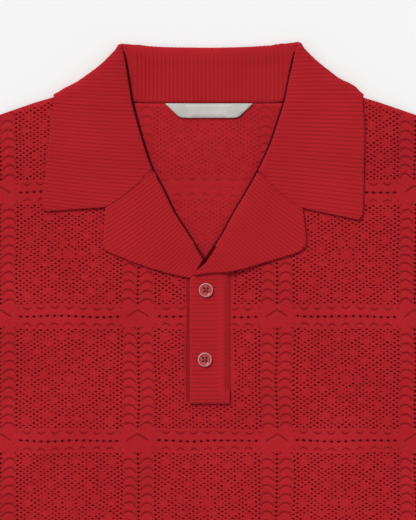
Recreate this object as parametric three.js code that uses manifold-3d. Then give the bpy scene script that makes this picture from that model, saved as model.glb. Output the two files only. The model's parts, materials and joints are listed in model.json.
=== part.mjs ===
// A knitted polo shirt laid flat on its back. Millimetres, +Z up.
// X runs across the shirt, Y runs from the hem to the collar, and the front faces up.
// Tables give places measured from the lowest point of the open neck: "up" is towards
// the collar, and "left" and "right" are distances outward from the middle line.
import * as THREE from 'three';
import { mergeVertices } from 'three/addons/utils/BufferGeometryUtils.js';
import Module from 'manifold-3d';

const wasm = await Module();
wasm.setup();

// Cloth and how its layers lie
const BODY_CLOTH = 1.5;
const RIB_CLOTH = 1.8;
const SEAM_GAP = 0.3;
const LAYER_GAP = 0.4;
const RIB_RELIEF = 0.5;
const ROLL_RISE = 0.5;
const BODY_LOFT = 1.4;
const NECK_LOFT = 1.3;
const WAVE = 0.45;

// The cut of the shirt
const HEM_UP = -505;
const HEM_HALF = 276;
const UNDERARM = { out: 283, up: -135 };
const SHOULDER_TIP = { out: 237, up: 114 };
const CUFF_TOP = { out: 428, up: -5 };
const CUFF_BOTTOM = { out: 384, up: -189 };
const PANEL_TOP = 160;

// The rib trims
const COLLAR_FALL = 72;
const FOLD_ARC = 9.4;
const FOLD_REACH = 5.3;
const LAPEL_RIB_TILT = THREE.MathUtils.degToRad(36);
const LAPEL_UNDER = 6;
const PLACKET_LEFT = -16.3;
const PLACKET_RIB_END = 15.7;
const PLACKET_RIGHT = 20.1;
const PLACKET_BOTTOM = -128.4;
const PLACKET_TOP = -9.2;
const SLIT = { left: 18.3, right: 20.4, bottom: -126.6 };

// Buttons of 20 ligne and the neck label
const BUTTON = { radius: 6.35, thick: 2.3, rim: 1.3, dish: 0.7, hole: 0.85, holeSpread: 1.55 };
const BUTTON_CORNERS = { under: 0.6, top: 0.5, dish: 0.6 };
const BUTTON_SIDES = 20;
const HOLE_SIDES = 8;
const BUTTON_PLACES = { upper: { x: -1.4, up: -26.1 }, lower: { x: -2.4, up: -88.5 } };
const LABEL = { top: 142, bottom: 129, topLeft: -38.4, topRight: 41, endCut: 13.5, thick: 1 };

// Half width of the armhole seam, straight between these rows
const ARMHOLE = [
  { up: -135, out: 283 },
  { up: -120, out: 268.5 },
  { up: -105, out: 258.5 },
  { up: -80, out: 248 },
  { up: -50, out: 240.5 },
  { up: -20, out: 236.5 },
  { up: 22, out: 234.3 },
  { up: 70, out: 234.2 },
  { up: 114, out: 237 },
];

// Shoulder seam, seen as the edge of the laid shirt
const SHOULDER = [
  { out: 104, up: 165.6 },
  { out: 110, up: 161.4 },
  { out: 120, up: 155 },
  { out: 130, up: 149.6 },
  { out: 138, up: 147 },
  { out: 143.6, up: 146 },
  { out: 154, up: 142.4 },
  { out: 165, up: 138.6 },
  { out: 186, up: 131.5 },
  { out: 237, up: 114 },
];

// Edge of the rolled collar and lapels round the open neck
const NECK_ROLL = [
  { up: -12, left: 11.5, right: -13 },
  { up: 0, left: 2.6, right: -2.6 },
  { up: 22, left: 16, right: 12 },
  { up: 44, left: 30, right: 24 },
  { up: 64, left: 39.6, right: 36 },
  { up: 86, left: 51, right: 47.6 },
  { up: 104, left: 57.2, right: 56 },
  { up: 125, left: 63.3, right: 63.1 },
  { up: 143, left: 68, right: 69 },
  { up: 162, left: 71, right: 72.8 },
  { up: 175, left: 73.2, right: 75.9 },
  { up: 187, left: 75.7, right: 78.5 },
  { up: 195.5, left: 79.8, right: 82.3 },
];

// Outer edge of the collar's leaf on the front
const LEAF_EDGE_LEFT = [
  { up: 44.3, out: 144.5 },
  { up: 46, out: 148 },
  { up: 49, out: 149 },
  { up: 80, out: 145.3 },
  { up: 123.5, out: 141 },
  { up: 151, out: 136.8 },
  { up: 160, out: 135 },
];
const LEAF_EDGE_RIGHT = [
  { up: 36.4, out: 134.8 },
  { up: 38.5, out: 138.3 },
  { up: 42, out: 139.7 },
  { up: 57, out: 140.3 },
  { up: 87, out: 140.9 },
  { up: 123.6, out: 140.9 },
  { up: 148, out: 138.8 },
  { up: 160, out: 137 },
];

// Edge of the folded collar over the shoulder, from the neck corner outward
const COLLAR_FOLD_LEFT = [
  { up: 151.3, out: 138.2 },
  { up: 154.6, out: 132.8 },
  { up: 160.4, out: 122 },
  { up: 167.4, out: 111.2 },
  { up: 175.3, out: 100.4 },
  { up: 185.1, out: 89.6 },
  { up: 195.3, out: 80.1 },
];
const COLLAR_FOLD_RIGHT = [
  { up: 152.4, out: 139.5 },
  { up: 157.8, out: 133.7 },
  { up: 163.6, out: 122.9 },
  { up: 171.2, out: 112 },
  { up: 179.6, out: 101.3 },
  { up: 189.7, out: 90.5 },
  { up: 196.8, out: 84.4 },
];

// Top of the standing collar across the back of the neck
const BACK_ROLL = [
  { x: -83, up: 195.6 },
  { x: -63, up: 193.4 },
  { x: -7, up: 192.2 },
  { x: 38, up: 192.9 },
  { x: 69, up: 195.2 },
  { x: 85, up: 197.4 },
];

// Half width of the neck cut in the front and in the back
const FRONT_NECK = [
  { up: 0, left: 18.3, right: 20.4 },
  { up: 22, left: 28.5, right: 26.5 },
  { up: 44, left: 41.5, right: 36 },
  { up: 64, left: 51, right: 48 },
  { up: 81, left: 60, right: 56.5 },
  { up: 104, left: 80, right: 79 },
  { up: 125, left: 91, right: 91 },
  { up: 143, left: 98, right: 99 },
  { up: 166, left: 105, right: 106 },
];
const BACK_NECK = [
  { up: 142.4, out: 71.5 },
  { up: 147, out: 80.5 },
  { up: 150, out: 85.5 },
  { up: 161, out: 104.2 },
  { up: 166, out: 110 },
];

// Each side of the shirt: the sign of its X, and the places that differ between the two
const LEFT = {
  name: 'left',
  sign: -1,
  notch: { out: 92.1, up: 48.2 },
  gorgeTop: 81,
  gorgeSag: 2.5,
  leafTilt: THREE.MathUtils.degToRad(-3.9),
  leafEdge: LEAF_EDGE_LEFT,
  collarFold: COLLAR_FOLD_LEFT,
  lapelEdge: [
    { out: 94, up: 17.6 },
    { out: 94.4, up: 11.5 },
    { out: 92.1, up: 9.8 },
    { out: 89.8, up: 8.1 },
    { out: 68, up: -0.5 },
    { out: 50.9, up: -6.8 },
    { out: 32.5, up: -12 },
    { out: 12, up: -16 },
  ],
  lapelEnd: { out: 11.6, up: -12 },
  lapelUnderRows: 52,
};
const RIGHT = {
  name: 'right',
  sign: 1,
  notch: { out: 85.8, up: 47.4 },
  gorgeTop: 79.5,
  gorgeSag: 2.5,
  leafTilt: THREE.MathUtils.degToRad(-12),
  leafEdge: LEAF_EDGE_RIGHT,
  collarFold: COLLAR_FOLD_RIGHT,
  lapelEdge: [
    { out: 89.2, up: 18.6 },
    { out: 88.1, up: 12.3 },
    { out: 81.8, up: 7.8 },
    { out: 74.3, up: 5.4 },
    { out: 47.3, up: -2.7 },
    { out: 31, up: -7.6 },
    { out: 18, up: -10.4 },
    { out: 2.8, up: -10.3 },
    { out: -16, up: -13.4 },
  ],
  lapelEnd: { out: -13, up: -11.6 },
  lapelUnderRows: 44,
};

// How the layers rise over one another: where a rise starts and how far it takes
const LEAF_LIFT = { up: 70, over: 32, out: 172, fade: 45 };
const HEM_RISE = 60;
const SIDE_RISE = 70;
const SHOULDER_RISE = 45;
const NECK_RISE = { out: 125, fade: 28 };
const WAVES = { across: 31, lean: 90, along: 47, start: 1.1, slant: 140 };
const WAVES_END = { up: -130, fade: 60 };
const CROSSING = { height: 2.6, out: 22, fade: 26, up: 3, rise: 22, underShare: 0.7 };
const ROLL_FADE = 7;

// How the rib strips are laid
const NECK_TILT = { angle: THREE.MathUtils.degToRad(2.5), up: 120, fade: 40 };
const GORGE_SETTLE = 1.2;
const LAPEL_SETTLE = 2.2;
const GORGE_STAND = 12;
const STAND_CLEARANCE = 1.2;
const STAND_SEARCH = { from: 4, to: 80, step: 0.5, otherwise: 50 };
const FALL_START = 60;
const FALL_PASSES = 6;
const FALL_BLEND = { before: 6, over: 30 };
const SLOPE_STEP = 4;
const GATHER = { before: 3, over: 18, least: 0.5 };
const BACK_ROLL_GAP = 0.2;
const STAND_END_SLOPE = 0.5;
const NECK_CORNER = { before: 8, over: 24, blend: 10 };
const BACK_RIBS_END = { x: 62, fade: 10 };
const INNER_ROW_STEP = 4;

// Tables and details of single pieces
const BODY_ROWS = [HEM_UP, -460, -405, -350, -295, -240, -185, UNDERARM.up, -120, -105, -80, -50, -20];
const CHEST_ROWS = [0, 22, 44, 58, 70, 79, 88, 97, 106, 114, 124, 133, 142.4, 147, 152, 157];
const LEAST_ROW_GAP = 3;
const TOP_ROW_GAP = 2;
const LEAST_COLUMN = 1.5;
const SLEEVE = { rings: 8, edgeShare: 0.012, loftEdge: 0.12, loftPower: 0.8, loftFrom: 3, foldReach: 0.4 };
const UNDERARM_GAP = { extra: 1.2, share: 0.93 };
const PLACKET_STEP = 18;
const PLACKET_TUCK = { up: -14.6, slope: 1.5, width: 1.2, from: -16, over: 2 };
const PLACKET_SINK = { before: 0.5, up: 5.7, over: 7.5 };
const UNDER_BAND_COLUMNS = [-6, 4, 13.5];
const UNDER_BAND_ROWS = [-126.2, -105, -80, -55, -30, -6.5];
const SMALLEST = 1e-6;
const SAME_POINT = 1e-4;

// Colours and finishes
const KNIT_RED = { color: 0xa4212a, roughness: 0.92, metalness: 0 };
const RIB_RED = { color: 0xa9232c, roughness: 0.9, metalness: 0 };
const BUTTON_RESIN = { color: 0xc9676b, roughness: 0.35, metalness: 0 };
const LABEL_SATIN = { color: 0xd0cfcc, roughness: 0.5, metalness: 0 };

const mix = (a, b, share) => a + (b - a) * share;
const clamp01 = (value) => Math.min(1, Math.max(0, value));

// A smooth step from 0 to 1
function ease(value) {
  const t = clamp01(value);
  return t * t * (3 - 2 * t);
}

// A column of a table at some value of another column, on a smooth curve through its rows
function lookUp(table, key, at, column) {
  const rows = table[0][key] < table[table.length - 1][key] ? table : [...table].reverse();
  let i = 0;
  while (i < rows.length - 2 && rows[i + 1][key] < at) i += 1;
  const slope = (a, b) => (rows[b][column] - rows[a][column]) / (rows[b][key] - rows[a][key]);
  const span = rows[i + 1][key] - rows[i][key];
  const t = (at - rows[i][key]) / span;
  if (t < 0) return rows[i][column] + slope(i, i + 1) * (at - rows[i][key]);
  if (t > 1) return rows[i + 1][column] + slope(i, i + 1) * (at - rows[i + 1][key]);
  const here = slope(i, i + 1);
  const before = i > 0 ? (slope(i - 1, i) + here) / 2 : here;
  const after = i < rows.length - 2 ? (slope(i + 1, i + 2) + here) / 2 : here;
  const bend = t * (1 - t) * ((before - here) * (1 - t) - (after - here) * t);
  return mix(rows[i][column], rows[i + 1][column], t) + bend * span;
}

// The half width of the armhole seam at a height
function armholeHalf(up) {
  let i = 0;
  while (i < ARMHOLE.length - 2 && ARMHOLE[i + 1].up < up) i += 1;
  const below = ARMHOLE[i];
  const above = ARMHOLE[i + 1];
  return mix(below.out, above.out, (up - below.up) / (above.up - below.up));
}

// A closed wall of cloth. outer and inner hold rows of points on its two faces. The outer
// face uses every row, the inner one only the rows named in stations, and present says
// which patches between two stations and two columns are there. A closed wall runs round.
function clothWall(outer, inner, stations, present = () => true, closed = false) {
  const columns = outer[0].length;
  const patches = closed ? columns : columns - 1;
  const points = [];
  const faces = [];
  const numbers = new Map();
  const number = (face, i, j) => {
    const column = closed ? j % columns : j;
    const key = `${face} ${i} ${column}`;
    if (!numbers.has(key)) {
      numbers.set(key, points.length);
      points.push((face === 'outer' ? outer : inner)[i][column]);
    }
    return numbers.get(key);
  };
  const out = (i, j) => number('outer', i, j);
  const inn = (i, j) => number('inner', i, j);
  const quad = (a, b, c, d) => faces.push([a, b, c], [a, c, d]);
  const here = (k, j) => {
    if (k < 0 || k >= stations.length - 1) return false;
    if (!closed && (j < 0 || j >= patches)) return false;
    return present(stations[k], closed ? (j + patches) % patches : j);
  };
  const sideStrip = (low, high, j, flip) => {
    const middle = Math.floor((low + high) / 2);
    const strip = [[inn(low, j), inn(high, j), out(middle, j)]];
    for (let i = low; i < high; i += 1) {
      strip.push([out(i + 1, j), out(i, j), inn(i < middle ? low : high, j)]);
    }
    for (const [a, b, c] of strip) faces.push(flip ? [a, c, b] : [a, b, c]);
  };
  for (let k = 0; k < stations.length - 1; k += 1) {
    const low = stations[k];
    const high = stations[k + 1];
    for (let j = 0; j < patches; j += 1) {
      if (!here(k, j)) continue;
      for (let i = low; i < high; i += 1) quad(out(i, j), out(i + 1, j), out(i + 1, j + 1), out(i, j + 1));
      quad(inn(low, j + 1), inn(high, j + 1), inn(high, j), inn(low, j));
      if (!here(k, j - 1)) sideStrip(low, high, j, false);
      if (!here(k, j + 1)) sideStrip(low, high, j + 1, true);
      if (!here(k - 1, j)) quad(out(low, j), out(low, j + 1), inn(low, j + 1), inn(low, j));
      if (!here(k + 1, j)) quad(out(high, j + 1), out(high, j), inn(high, j), inn(high, j + 1));
    }
  }
  return closedGeometry(points, faces);
}

// A geometry with its faces turned outward
function closedGeometry(points, faces) {
  let volume = 0;
  for (const [a, b, c] of faces) {
    volume += points[a].dot(new THREE.Vector3().crossVectors(points[b], points[c]));
  }
  const ordered = volume > 0 ? faces : faces.map(([a, b, c]) => [a, c, b]);
  const geometry = new THREE.BufferGeometry();
  const places = points.flatMap((point) => point.toArray());
  geometry.setAttribute('position', new THREE.Float32BufferAttribute(places, 3));
  geometry.setIndex(ordered.flat());
  geometry.computeVertexNormals();
  return geometry;
}

// Directions square to a grid of points, from each point's neighbours in the grid
function gridNormals(grid, exists = () => true, closed = false) {
  const rows = grid.length;
  const columns = grid[0].length;
  const across = (j) => (closed ? (j + columns) % columns : j);
  const there = (i, j) => i >= 0 && i < rows && (closed || (j >= 0 && j < columns)) && exists(i, across(j));
  return grid.map((row, i) => row.map((point, j) => {
    if (!there(i, j)) return new THREE.Vector3(0, 0, 1);
    const previous = there(i - 1, j) ? grid[i - 1][j] : point;
    const next = there(i + 1, j) ? grid[i + 1][j] : point;
    const low = there(i, j - 1) ? grid[i][across(j - 1)] : point;
    const high = there(i, j + 1) ? grid[i][across(j + 1)] : point;
    const along = new THREE.Vector3().subVectors(next, previous);
    const over = new THREE.Vector3().subVectors(high, low);
    return along.cross(over).normalize();
  }));
}

// A wall whose middle surface is a grid, thickened to both sides along its normals.
// relief adds to the outer face, row by row and point by point.
function thickened(grid, thickness, options) {
  const { stations, present, exists, closed = false, relief = () => 0, outward = 1 } = options;
  const normals = gridNormals(grid, exists, closed);
  const shifted = (direction, extra) => grid.map((row, i) => row.map((point, j) => {
    const step = direction * outward * (thickness / 2 + extra(i, j));
    return point.clone().addScaledVector(normals[i][j], step);
  }));
  const outer = shifted(1, relief);
  const inner = shifted(-1, () => 0);
  return clothWall(outer, inner, stations, present, closed);
}

// Heights of the layers over the surface that the shirt lies on

// How far the collar's folded leaf lifts the back at a place
function lift(out, up) {
  const collarStack = RIB_CLOTH + SEAM_GAP;
  const above = ease((up - LEAF_LIFT.up) / LEAF_LIFT.over);
  return collarStack * above * (1 - ease((out - LEAF_LIFT.out) / LEAF_LIFT.fade));
}

// How far the front stands off the back, beyond the seam gap
function loft(x, up) {
  const out = Math.abs(x);
  const edge = ease((up - HEM_UP) / HEM_RISE) * ease((UNDERARM.out - out) / SIDE_RISE);
  const shoulderUp = lookUp(SHOULDER, 'out', Math.max(out, SHOULDER[0].out), 'up');
  const fromShoulder = ease((shoulderUp - up) / SHOULDER_RISE);
  const across = Math.sin(x / WAVES.across + up / WAVES.lean);
  const along = Math.sin(up / WAVES.along + WAVES.start - x / WAVES.slant);
  const wave = WAVE * (1 + across * along);
  const wavy = ease((WAVES_END.up - up) / WAVES_END.fade);
  const neck = NECK_LOFT * (1 - fromShoulder) * (1 - ease((out - NECK_RISE.out) / NECK_RISE.fade));
  return (BODY_LOFT + wave * wavy) * edge * fromShoulder + neck;
}

// Top face of the front, also carried on smoothly inside the neck
function frontTop(x, up) {
  return lift(Math.abs(x), up) + BODY_CLOTH + SEAM_GAP + loft(x, up) + BODY_CLOTH;
}

// Extra height of the viewer's right lapel where it crosses the left one and the placket
function crossing(x, up) {
  const beside = 1 - ease((x - CROSSING.out) / CROSSING.fade);
  return CROSSING.height * beside * (1 - ease((up - CROSSING.up) / CROSSING.rise));
}

// Body panels

function outlineHalf(up) {
  if (up < UNDERARM.up) {
    const share = (up - HEM_UP) / (UNDERARM.up - HEM_UP);
    return mix(HEM_HALF, UNDERARM.out, ease(share));
  }
  if (up <= SHOULDER_TIP.up) return armholeHalf(up);
  return lookUp(SHOULDER, 'up', up, 'out');
}

// Columns that the front and the back share, so that one lies evenly on the other
const SHARED_COLUMNS = [120, 138, 156, 176, 198];
const NECK_COLUMNS = 2;

// Distances outward of one half row, from the neck to the outline
function halfRow(neck, half) {
  const left = half - SHARED_COLUMNS[0];
  const shared = SHARED_COLUMNS.map((out, j) => {
    const room = half - (SHARED_COLUMNS.length - j) * LEAST_COLUMN;
    return left > 0 ? Math.min(out, room) : room;
  });
  const inner = [];
  for (let j = 0; j < NECK_COLUMNS; j += 1) inner.push(mix(neck, shared[0], j / NECK_COLUMNS));
  return [...inner, ...shared, half];
}

// One panel of the body, between its outline and the neck. The middle block of columns
// is left out above openFrom.
function bodyPanel(heights, neckLeft, neckRight, openFrom, topAt) {
  const sideColumns = NECK_COLUMNS + SHARED_COLUMNS.length;
  const middleColumns = 2;
  const top = heights.map((up) => {
    const row = [];
    const half = outlineHalf(up);
    const place = (x) => row.push(new THREE.Vector3(x, up, topAt(x, up)));
    for (const out of halfRow(neckLeft(up), half).reverse()) place(-out);
    for (let j = 1; j < middleColumns; j += 1) place(mix(-neckLeft(up), neckRight(up), j / middleColumns));
    for (const out of halfRow(neckRight(up), half)) place(out);
    return row;
  });
  const under = top.map((row) => row.map((point) => point.clone().setZ(point.z - BODY_CLOTH)));
  const isMiddle = (j) => j >= sideColumns && j < sideColumns + middleColumns;
  const present = (i, j) => !(isMiddle(j) && heights[i] >= openFrom);
  return clothWall(top, under, heights.map((_, i) => i), present);
}

// Heights of a panel's rows: wide apart low on the body, close together at the neck
function panelHeights(openFrom, highest) {
  const free = (up) => Math.abs(up - openFrom) > LEAST_ROW_GAP && up < highest - TOP_ROW_GAP;
  const inner = [...BODY_ROWS, ...CHEST_ROWS].filter(free);
  return [...inner, openFrom, highest].sort((a, b) => a - b);
}

function buildFront() {
  const neck = (side) => (up) => (up < 0 ? SLIT[side] : lookUp(FRONT_NECK, 'up', up, side));
  return bodyPanel(panelHeights(SLIT.bottom, PANEL_TOP), neck('left'), neck('right'), SLIT.bottom, frontTop);
}

function buildBack() {
  const { up: neckEdge, out: neckOut } = BACK_NECK[0];
  const neck = (up) => (up < neckEdge ? neckOut : lookUp(BACK_NECK, 'up', up, 'out'));
  const topAt = (x, up) => lift(Math.abs(x), up) + BODY_CLOTH;
  return bodyPanel(panelHeights(neckEdge, PANEL_TOP), neck, neck, neckEdge, topAt);
}

// Sleeves: flattened tubes from the armhole to the cuff

function buildSleeve(sign) {
  const { rings, edgeShare, loftEdge, loftPower, loftFrom, foldReach } = SLEEVE;
  const knots = ARMHOLE.slice(1, -1).map((row) => (SHOULDER_TIP.up - row.up) / (SHOULDER_TIP.up - UNDERARM.up));
  const shares = [edgeShare, ...knots.reverse(), 1 - edgeShare];
  const foldRadius = (BODY_CLOTH + SEAM_GAP) / 2;
  const middle = BODY_CLOTH / 2;
  const armhole = (share) => {
    const up = mix(SHOULDER_TIP.up, UNDERARM.up, share);
    const near = ease((share - UNDERARM_GAP.share) / (1 - UNDERARM_GAP.share));
    const clear = SEAM_GAP + UNDERARM_GAP.extra * near;
    return { out: armholeHalf(up) + clear, up };
  };
  const topLayer = (along, share) => {
    const start = armhole(share);
    const end = { out: mix(CUFF_TOP.out, CUFF_BOTTOM.out, share), up: mix(CUFF_TOP.up, CUFF_BOTTOM.up, share) };
    const out = mix(start.out, end.out, along);
    const up = mix(start.up, end.up, along);
    const seamLoft = loft(start.out, start.up);
    const ownLoft = BODY_LOFT * Math.sin(Math.PI * share) ** loftPower;
    const edge = ease(Math.min(share, 1 - share) / loftEdge);
    const rise = mix(seamLoft, ownLoft * edge, ease(along * loftFrom));
    return { out, up, rise };
  };
  const grid = [];
  for (let i = 0; i < rings; i += 1) {
    const along = i / (rings - 1);
    const row = [];
    const place = (out, up, z) => row.push(new THREE.Vector3(sign * out, up, z));
    for (const share of shares) {
      const spot = topLayer(along, share);
      place(spot.out, spot.up, middle + 2 * foldRadius + spot.rise);
    }
    const low = topLayer(along, 1);
    place(low.out, low.up - foldRadius * foldReach, middle + foldRadius);
    for (const share of [...shares].reverse()) {
      const spot = topLayer(along, share);
      place(spot.out, spot.up, middle);
    }
    const high = topLayer(along, 0);
    place(high.out, high.up + foldRadius * foldReach, middle + foldRadius);
    grid.push(row);
  }
  const stations = grid.map((_, i) => i);
  return thickened(grid, BODY_CLOTH, { stations, closed: true, outward: -sign });
}

// Seam between the collar and a lapel, from the notch (0) to the rolled edge (1)
function gorge(side, share) {
  const top = { out: rollBase(side, side.gorgeTop), up: side.gorgeTop };
  const out = mix(side.notch.out, top.out, share);
  const up = mix(side.notch.up, top.up, share);
  const length = Math.hypot(top.out - side.notch.out, top.up - side.notch.up);
  const sag = side.gorgeSag * 4 * share * (1 - share);
  const square = { out: (top.up - side.notch.up) / length, up: (side.notch.out - top.out) / length };
  return { out: out - square.out * sag, up: up - square.up * sag };
}

// Where the rolled edge starts to turn, just inside the edge that shows
function rollBase(side, up) {
  const step = 2;
  const edge = lookUp(NECK_ROLL, 'up', up, side.name);
  const lean = (lookUp(NECK_ROLL, 'up', up + step, side.name) - edge) / step;
  const depth = RIB_CLOTH / 2 + (RIB_CLOTH + LAYER_GAP + ROLL_RISE) / 2;
  return edge + depth * Math.hypot(1, lean);
}

// Heights of the collar's two layers on the front and on the back. level runs from the
// stand (0) through the roll to the fall (1), and away is the distance from the roll.
function collarHeight(x, up, level, away, onBack) {
  const rise = ROLL_RISE * Math.exp(-away / ROLL_FADE);
  if (onBack) {
    const fall = RIB_CLOTH / 2;
    const stand = RIB_CLOTH + SEAM_GAP + RIB_CLOTH / 2 + rise;
    return mix(stand, fall, level);
  }
  const stand = frontTop(x, up) - RIB_CLOTH / 2;
  const fall = frontTop(x, up) + LAYER_GAP + RIB_CLOTH / 2 + rise;
  return mix(stand, fall, level);
}

// The collar on one side as a strip that is folded over the shoulder. Each row is one line
// of a rib, at a height "up" in the strip before it is folded.
function collarRow(side, up, leafShare) {
  const corner = side.collarFold[side.collarFold.length - 1];
  const foldUp = Math.min(up, corner.up);
  let foldOut = lookUp(side.collarFold, 'up', foldUp, 'out');
  const lean = (lookUp(side.collarFold, 'up', foldUp - SLOPE_STEP, 'out') - foldOut) / SLOPE_STEP;
  const slope = up >= corner.up ? Math.PI / 4 : Math.atan2(1, lean);
  foldOut -= (up - foldUp) / Math.tan(slope);
  const normal = { out: Math.sin(slope), up: Math.cos(slope) };
  const tangent = { out: Math.cos(slope), up: -Math.sin(slope) };
  const onGorge = leafShare < 1;
  const seam = onGorge ? gorge(side, leafShare) : null;
  const rollOut = up > corner.up ? rollBase(side, corner.up - 1) : rollBase(side, up);
  const start = onGorge ? { out: seam.out + SEAM_GAP / 2, up: seam.up + SEAM_GAP / 2 } : { out: rollOut, up };
  const settle = ease(leafShare * GORGE_SETTLE);
  const upperTilt = NECK_TILT.angle * (1 - ease((up - NECK_TILT.up) / NECK_TILT.fade));
  const tilt = onGorge ? mix(side.leafTilt, upperTilt, settle) : upperTilt;
  const direction = { out: Math.cos(tilt), up: Math.sin(tilt) };
  const foldStart = foldOut - FOLD_REACH / normal.out - start.out;
  return { start, direction, normal, tangent, foldStart, up: start.up, onGorge };
}

// A point of a collar row: its distance from the roll, and its level between the layers
function collarPoint(side, row, away, level, pushed = 0) {
  const { start, direction, normal, tangent, foldStart } = row;
  const along = away - pushed;
  const past = along - foldStart;
  const around = past * (direction.out * normal.out + direction.up * normal.up);
  const slide = past * (direction.out * tangent.out + direction.up * tangent.up);
  const crease = {
    out: start.out + direction.out * foldStart,
    up: start.up + direction.up * foldStart,
  };
  let spot = { out: start.out + direction.out * along, up: start.up + direction.up * along };
  const flat = Math.max(0, away);
  if (around <= 0) {
    const z = collarHeight(side.sign * spot.out, spot.up, level, flat, false);
    return { ...spot, z, around };
  }
  const high = collarHeight(side.sign * crease.out, crease.up, level, flat, false);
  const low = collarHeight(side.sign * crease.out, crease.up, level, flat, true);
  const radius = (high - low) / 2;
  const turn = Math.min(1, around / FOLD_ARC) * Math.PI;
  const reach = radius * Math.sin(turn) - Math.max(0, around - FOLD_ARC);
  spot = {
    out: crease.out + tangent.out * slide + normal.out * reach,
    up: crease.up + tangent.up * slide + normal.up * reach,
  };
  return { ...spot, z: (high + low) / 2 + radius * Math.cos(turn), around };
}

// Distance along a row at which the stand meets the neck seam of the front or the back
function standLength(side, row) {
  const halfTurn = FOLD_ARC / 2;
  const { from, to, step, otherwise } = STAND_SEARCH;
  for (let away = from; away < to; away += step) {
    const spot = collarPoint(side, row, away, 0);
    const frontSeam = lookUp(FRONT_NECK, 'up', spot.up, side.name) - STAND_CLEARANCE;
    const front = spot.around < halfTurn && spot.out > frontSeam;
    const backSeam = spot.out < BACK_NECK[0].out ? BACK_NECK[0].up : lookUp(BACK_NECK, 'out', spot.out, 'up');
    const back = spot.around >= halfTurn && spot.up < backSeam + STAND_CLEARANCE;
    if (front || back) return away;
  }
  return otherwise;
}

// Distance along a row at which the fall ends on the leaf's edge or at its full width
function fallLength(side, row) {
  const edge = (up) => lookUp(side.leafEdge, 'up', up, 'out');
  let length = FALL_START;
  for (let pass = 0; pass < FALL_PASSES; pass += 1) {
    length = (edge(row.start.up + row.direction.up * length) - row.start.out) / row.direction.out;
  }
  const fullFrom = side.leafEdge[side.leafEdge.length - 2].up - FALL_BLEND.before;
  const share = ease((row.up - fullFrom) / FALL_BLEND.over);
  return row.up < fullFrom ? length : mix(edge(fullFrom) - row.start.out, COLLAR_FALL, share);
}

// Distances of a row's points: even, or gathered where the row turns over the shoulder
function spread(length, foldStart, foldEnd, shape) {
  const last = shape.length - 1;
  const beyond = ease((foldStart - length - GATHER.before) / GATHER.over);
  const evenly = Math.max(beyond, ease(-foldEnd / GATHER.over));
  const least = Math.min(GATHER.least, length / (2 * last));
  return shape.map((mark, j) => {
    const even = (length * j) / last;
    const bent = mark(foldStart, foldEnd, length);
    const kept = Math.min(Math.max(bent, least * j), length - least * (last - j));
    return mix(kept, even, evenly);
  });
}

const STAND_SHAPE = [
  () => 0,
  (a) => a,
  (a, b) => (a + b) / 2,
  (a, b) => b,
  (a, b, l) => l,
];
const FALL_SHAPE = [
  () => 0,
  (a) => a,
  (a, b) => mix(a, b, 1 / 3),
  (a, b) => mix(a, b, 2 / 3),
  (a, b) => b,
  (a, b, l) => (b + l) / 2,
  (a, b, l) => l,
];
const ROLL_TURNS = [Math.PI / 3, (2 * Math.PI) / 3];
const ROLL_REACH = (RIB_CLOTH + LAYER_GAP + ROLL_RISE) / 2;
const STAND_COLUMNS = STAND_SHAPE.length;
const FALL_FIRST = STAND_COLUMNS + ROLL_TURNS.length;

// All points of one collar row, from the neck seam over the roll to the outer edge
function collarRowPoints(side, row) {
  const inBend = row.direction.out * row.normal.out + row.direction.up * row.normal.up;
  const foldEnd = row.foldStart + FOLD_ARC / inBend;
  const stand = row.onGorge ? GORGE_STAND : standLength(side, row);
  const fall = fallLength(side, row);
  const points = [];
  const place = (away, level, pushed) => points.push(collarPoint(side, row, away, level, pushed));
  for (const away of spread(stand, row.foldStart, foldEnd, STAND_SHAPE).reverse()) place(away, 0);
  for (const turn of ROLL_TURNS) place(0, (1 - Math.cos(turn)) / 2, ROLL_REACH * Math.sin(turn));
  for (const away of spread(fall, row.foldStart, foldEnd, FALL_SHAPE)) place(away, 1);
  return points.map((spot) => {
    const point = new THREE.Vector3(side.sign * spot.out, spot.up, spot.z);
    point.around = spot.around;
    return point;
  });
}

// Straight rows of the collar across the back of the neck
function backRowPoints(x) {
  const up = lookUp(BACK_ROLL, 'x', x, 'up') - ROLL_REACH - RIB_CLOTH / 2 - BACK_ROLL_GAP;
  const points = [];
  const place = (away, level, pushed = 0) => {
    const point = new THREE.Vector3(x, up - away + pushed, collarHeight(x, up, level, away, true));
    point.around = 2 * FOLD_ARC;
    points.push(point);
  };
  const stand = up - BACK_NECK[0].up - SEAM_GAP;
  const seamRise = Math.max(0, (Math.abs(x) - BACK_NECK[0].out) * STAND_END_SLOPE);
  for (let j = STAND_COLUMNS - 1; j >= 0; j -= 1) place(((stand - seamRise) * j) / (STAND_COLUMNS - 1), 0);
  for (const turn of ROLL_TURNS) place(0, (1 - Math.cos(turn)) / 2, ROLL_REACH * Math.sin(turn));
  const last = FALL_SHAPE.length - 1;
  for (let j = 0; j <= last; j += 1) place((COLLAR_FALL * j) / last, 1);
  return points;
}

// Rows of one half of the collar, from the leaf's lower edge to the shoulder's far side
const GORGE_ROWS = 16;
const ROLL_ROWS = 56;
const CORNER_ROWS = 12;
const BACK_ROWS = 72;
const LEAF_CORNER_ROWS = { first: 46, last: 61 };
const NECK_CORNER_ROWS = { before: CORNER_ROWS + 6, after: 4 };

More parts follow.
